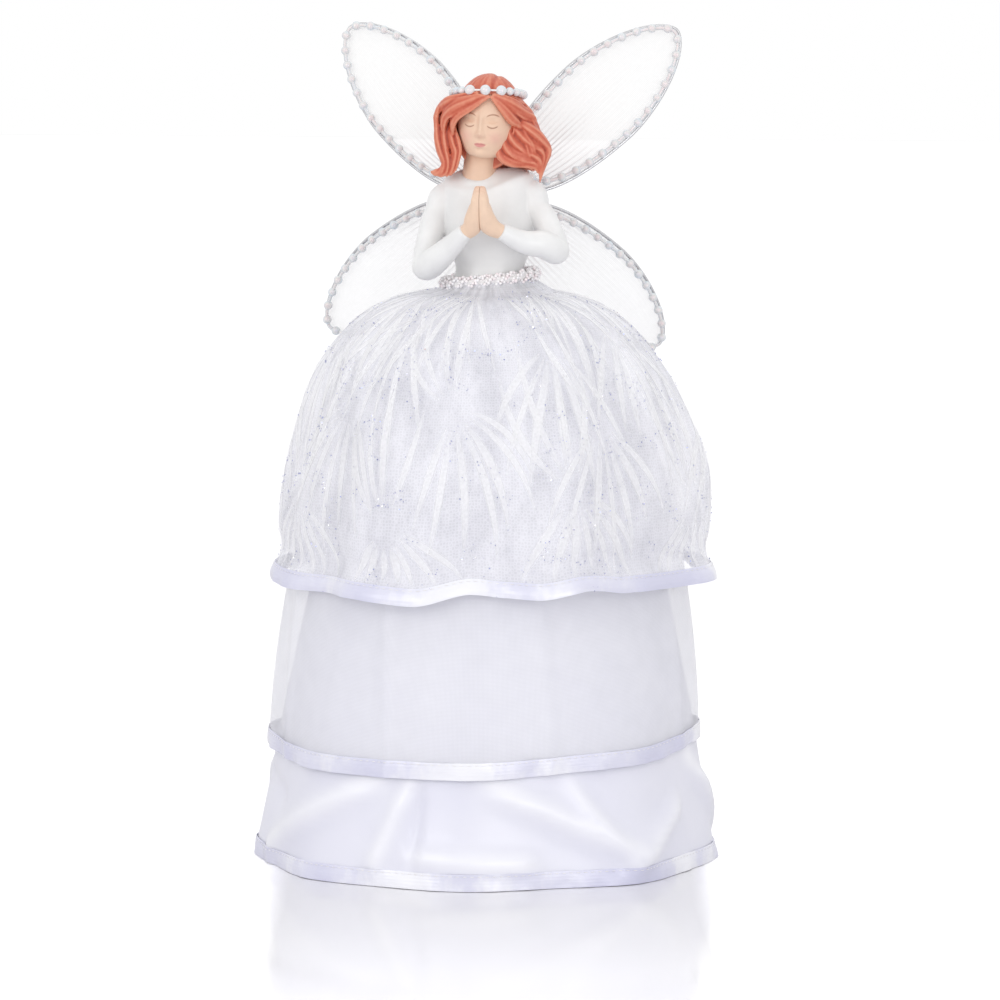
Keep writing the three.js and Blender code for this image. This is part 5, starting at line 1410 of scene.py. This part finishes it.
def wingCover(name):
    x, y = wingHalf(wingLook["coverStart"], wingLook["coverInset"])
    across = np.linspace(-1, 1, wingLook["columns"])
    seed = sum(map(ord, name)) % 7
    reach = (x - x[0])[:, None]
    pleat = np.cos(wingLook["pleats"] * math.pi * across + 1.2 * np.sin(5 * across + seed))
    fade = np.exp(-reach / 15) * smoothStep(1 - np.abs(across), 0, 0.12)
    sag = 0.35 * (1 - across ** 2) * np.sin(math.pi * reach / reach[-1]) * np.cos(2.2 * across + 0.05 * reach + seed)
    height = 0.32 * pleat * fade - np.abs(sag)
    points = np.stack([x[:, None] + 0 * height, y[:, None] * across, height], -1)
    piece = meshPiece(name + "WingCover", toFigure(points.reshape(-1, 3), name),
                      gridFaces(len(x), len(across), False), sheerNylon)
    setClothMap(piece, across * wingSize["halfWidth"], x)
    # gather: where the pleats crest near the root; the nylon paints it darker as painted shade, and covers more there
    uneven = 0.3 + 0.35 * (1 + np.cos(6.3 * across + 2.1 * seed) * np.cos(2.2 * across - seed))
    line = uneven * (0.5 + 0.5 * pleat) ** 5 * bell(reach / 30) * smoothStep(reach, 0, 3)
    fine = (0.5 + 0.5 * np.cos(41 * math.pi * across + seed)) ** 4 * np.exp(-reach / 30) * 0.25
    setNumber(piece, "gather", np.clip(line + fine + 0.25 * np.exp(-reach / 16), 0, 1))
    2 * float(np.trapz(y, x)) * mm * mm
    return piece


def wingPearls(name):
    line = wingLoop(wingLook["pearlStart"], wingLook["pearlInset"], wingSize["pearlFront"], wingLook["pearlStep"])
    trim = wingLook["pearlTrim"]
    return stringBeads(name + "WingPearls", [toFigure(line[trim:-trim], name)], wingBeads)


def wingBinding(name):
    share = np.linspace(0, 1, wingLook["bindingSteps"])
    angle = tau * wingLook["bindingTurns"] * share
    there = blend(wingLook["bindingStart"], wingLook["bindingEnd"], 0.5 - 0.5 * np.cos(tau * share))
    path = np.roll(polar(wingLook["bindingRadius"], angle, there), 1, -1)
    points, faces = sweepTube(path, wingLook["bindingThread"], (1, 0, 0), 8)
    return meshPiece(name + "WingBinding", toFigure(points, name), faces, whiteThread)


for wingName in wingBends:
    wing = wingName + "_wing"
    belongs(wingWire(wingName), "silver_wire", wing + "_wire", body=wing)
    belongs(wingCover(wingName), "nylon", wing + "_cover", body=wing)
    belongs(wingPearls(wingName), "pearl", wing + "_pearls", body=wing)
    belongs(wingBinding(wingName), "thread", wing + "_binding", body=wing)
print("wings dressed")


# hub on the back

hubLook = {"radius": 5.5, "front": 7.2, "back": 19.2, "cup": 1.9, "round": 0.8, "sides": 72, "dimple": 0.25,
           "faceRadii": (3.6, 3.2, 2.9, 2.6, 1.5, 0.3)}


def hubPiece():
    radius, front, back, bevel = (hubLook[key] for key in ("radius", "front", "back", "round"))
    profile = [(0.3, front), (radius, front)] + [(radius, y) for y in np.linspace(front + 1, back - bevel, 8)]
    profile += [(radius - bevel * (1 - math.cos(turn)), back - bevel * (1 - math.sin(turn)))
                for turn in np.linspace(0, math.pi / 2, 7)[1:]]
    profile += [(r, back - hubLook["dimple"] * smoothStep(r, 3.2, 2.6)) for r in hubLook["faceRadii"]]
    angle = oneTurn(hubLook["sides"])
    rings = [np.stack([r * np.cos(angle), np.full_like(angle, y), wingSize["hubHeight"] - r * np.sin(angle)], -1)
             for r, y in profile]
    piece = meshPiece("wingHub", np.vstack(rings), tubeFaces(len(rings), len(angle)), whitePaint)
    turn = np.linspace(0.02, math.pi - 0.02, 16)
    height = (-np.cos(turn) * hubLook["cup"])[:, None] * (0, 0, 1)
    balls = [sweepTube(height + wingPlace(name)[3], np.sin(turn) * hubLook["cup"], (0, 1, 0), 24) for name in wingBends]
    cups = meshPiece("hubCups", *joinShapes(balls))
    addModifier(piece, "BOOLEAN", object=cups, operation="DIFFERENCE", solver="EXACT")
    bakeModifiers(piece)
    bpy.data.objects.remove(cups)
    belongs(piece, "white_paint", "wing_hub")


hubPiece()

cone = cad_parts["paperboard_cone"]
cone.data.materials.clear()
cone.data.materials.append(paperboard)
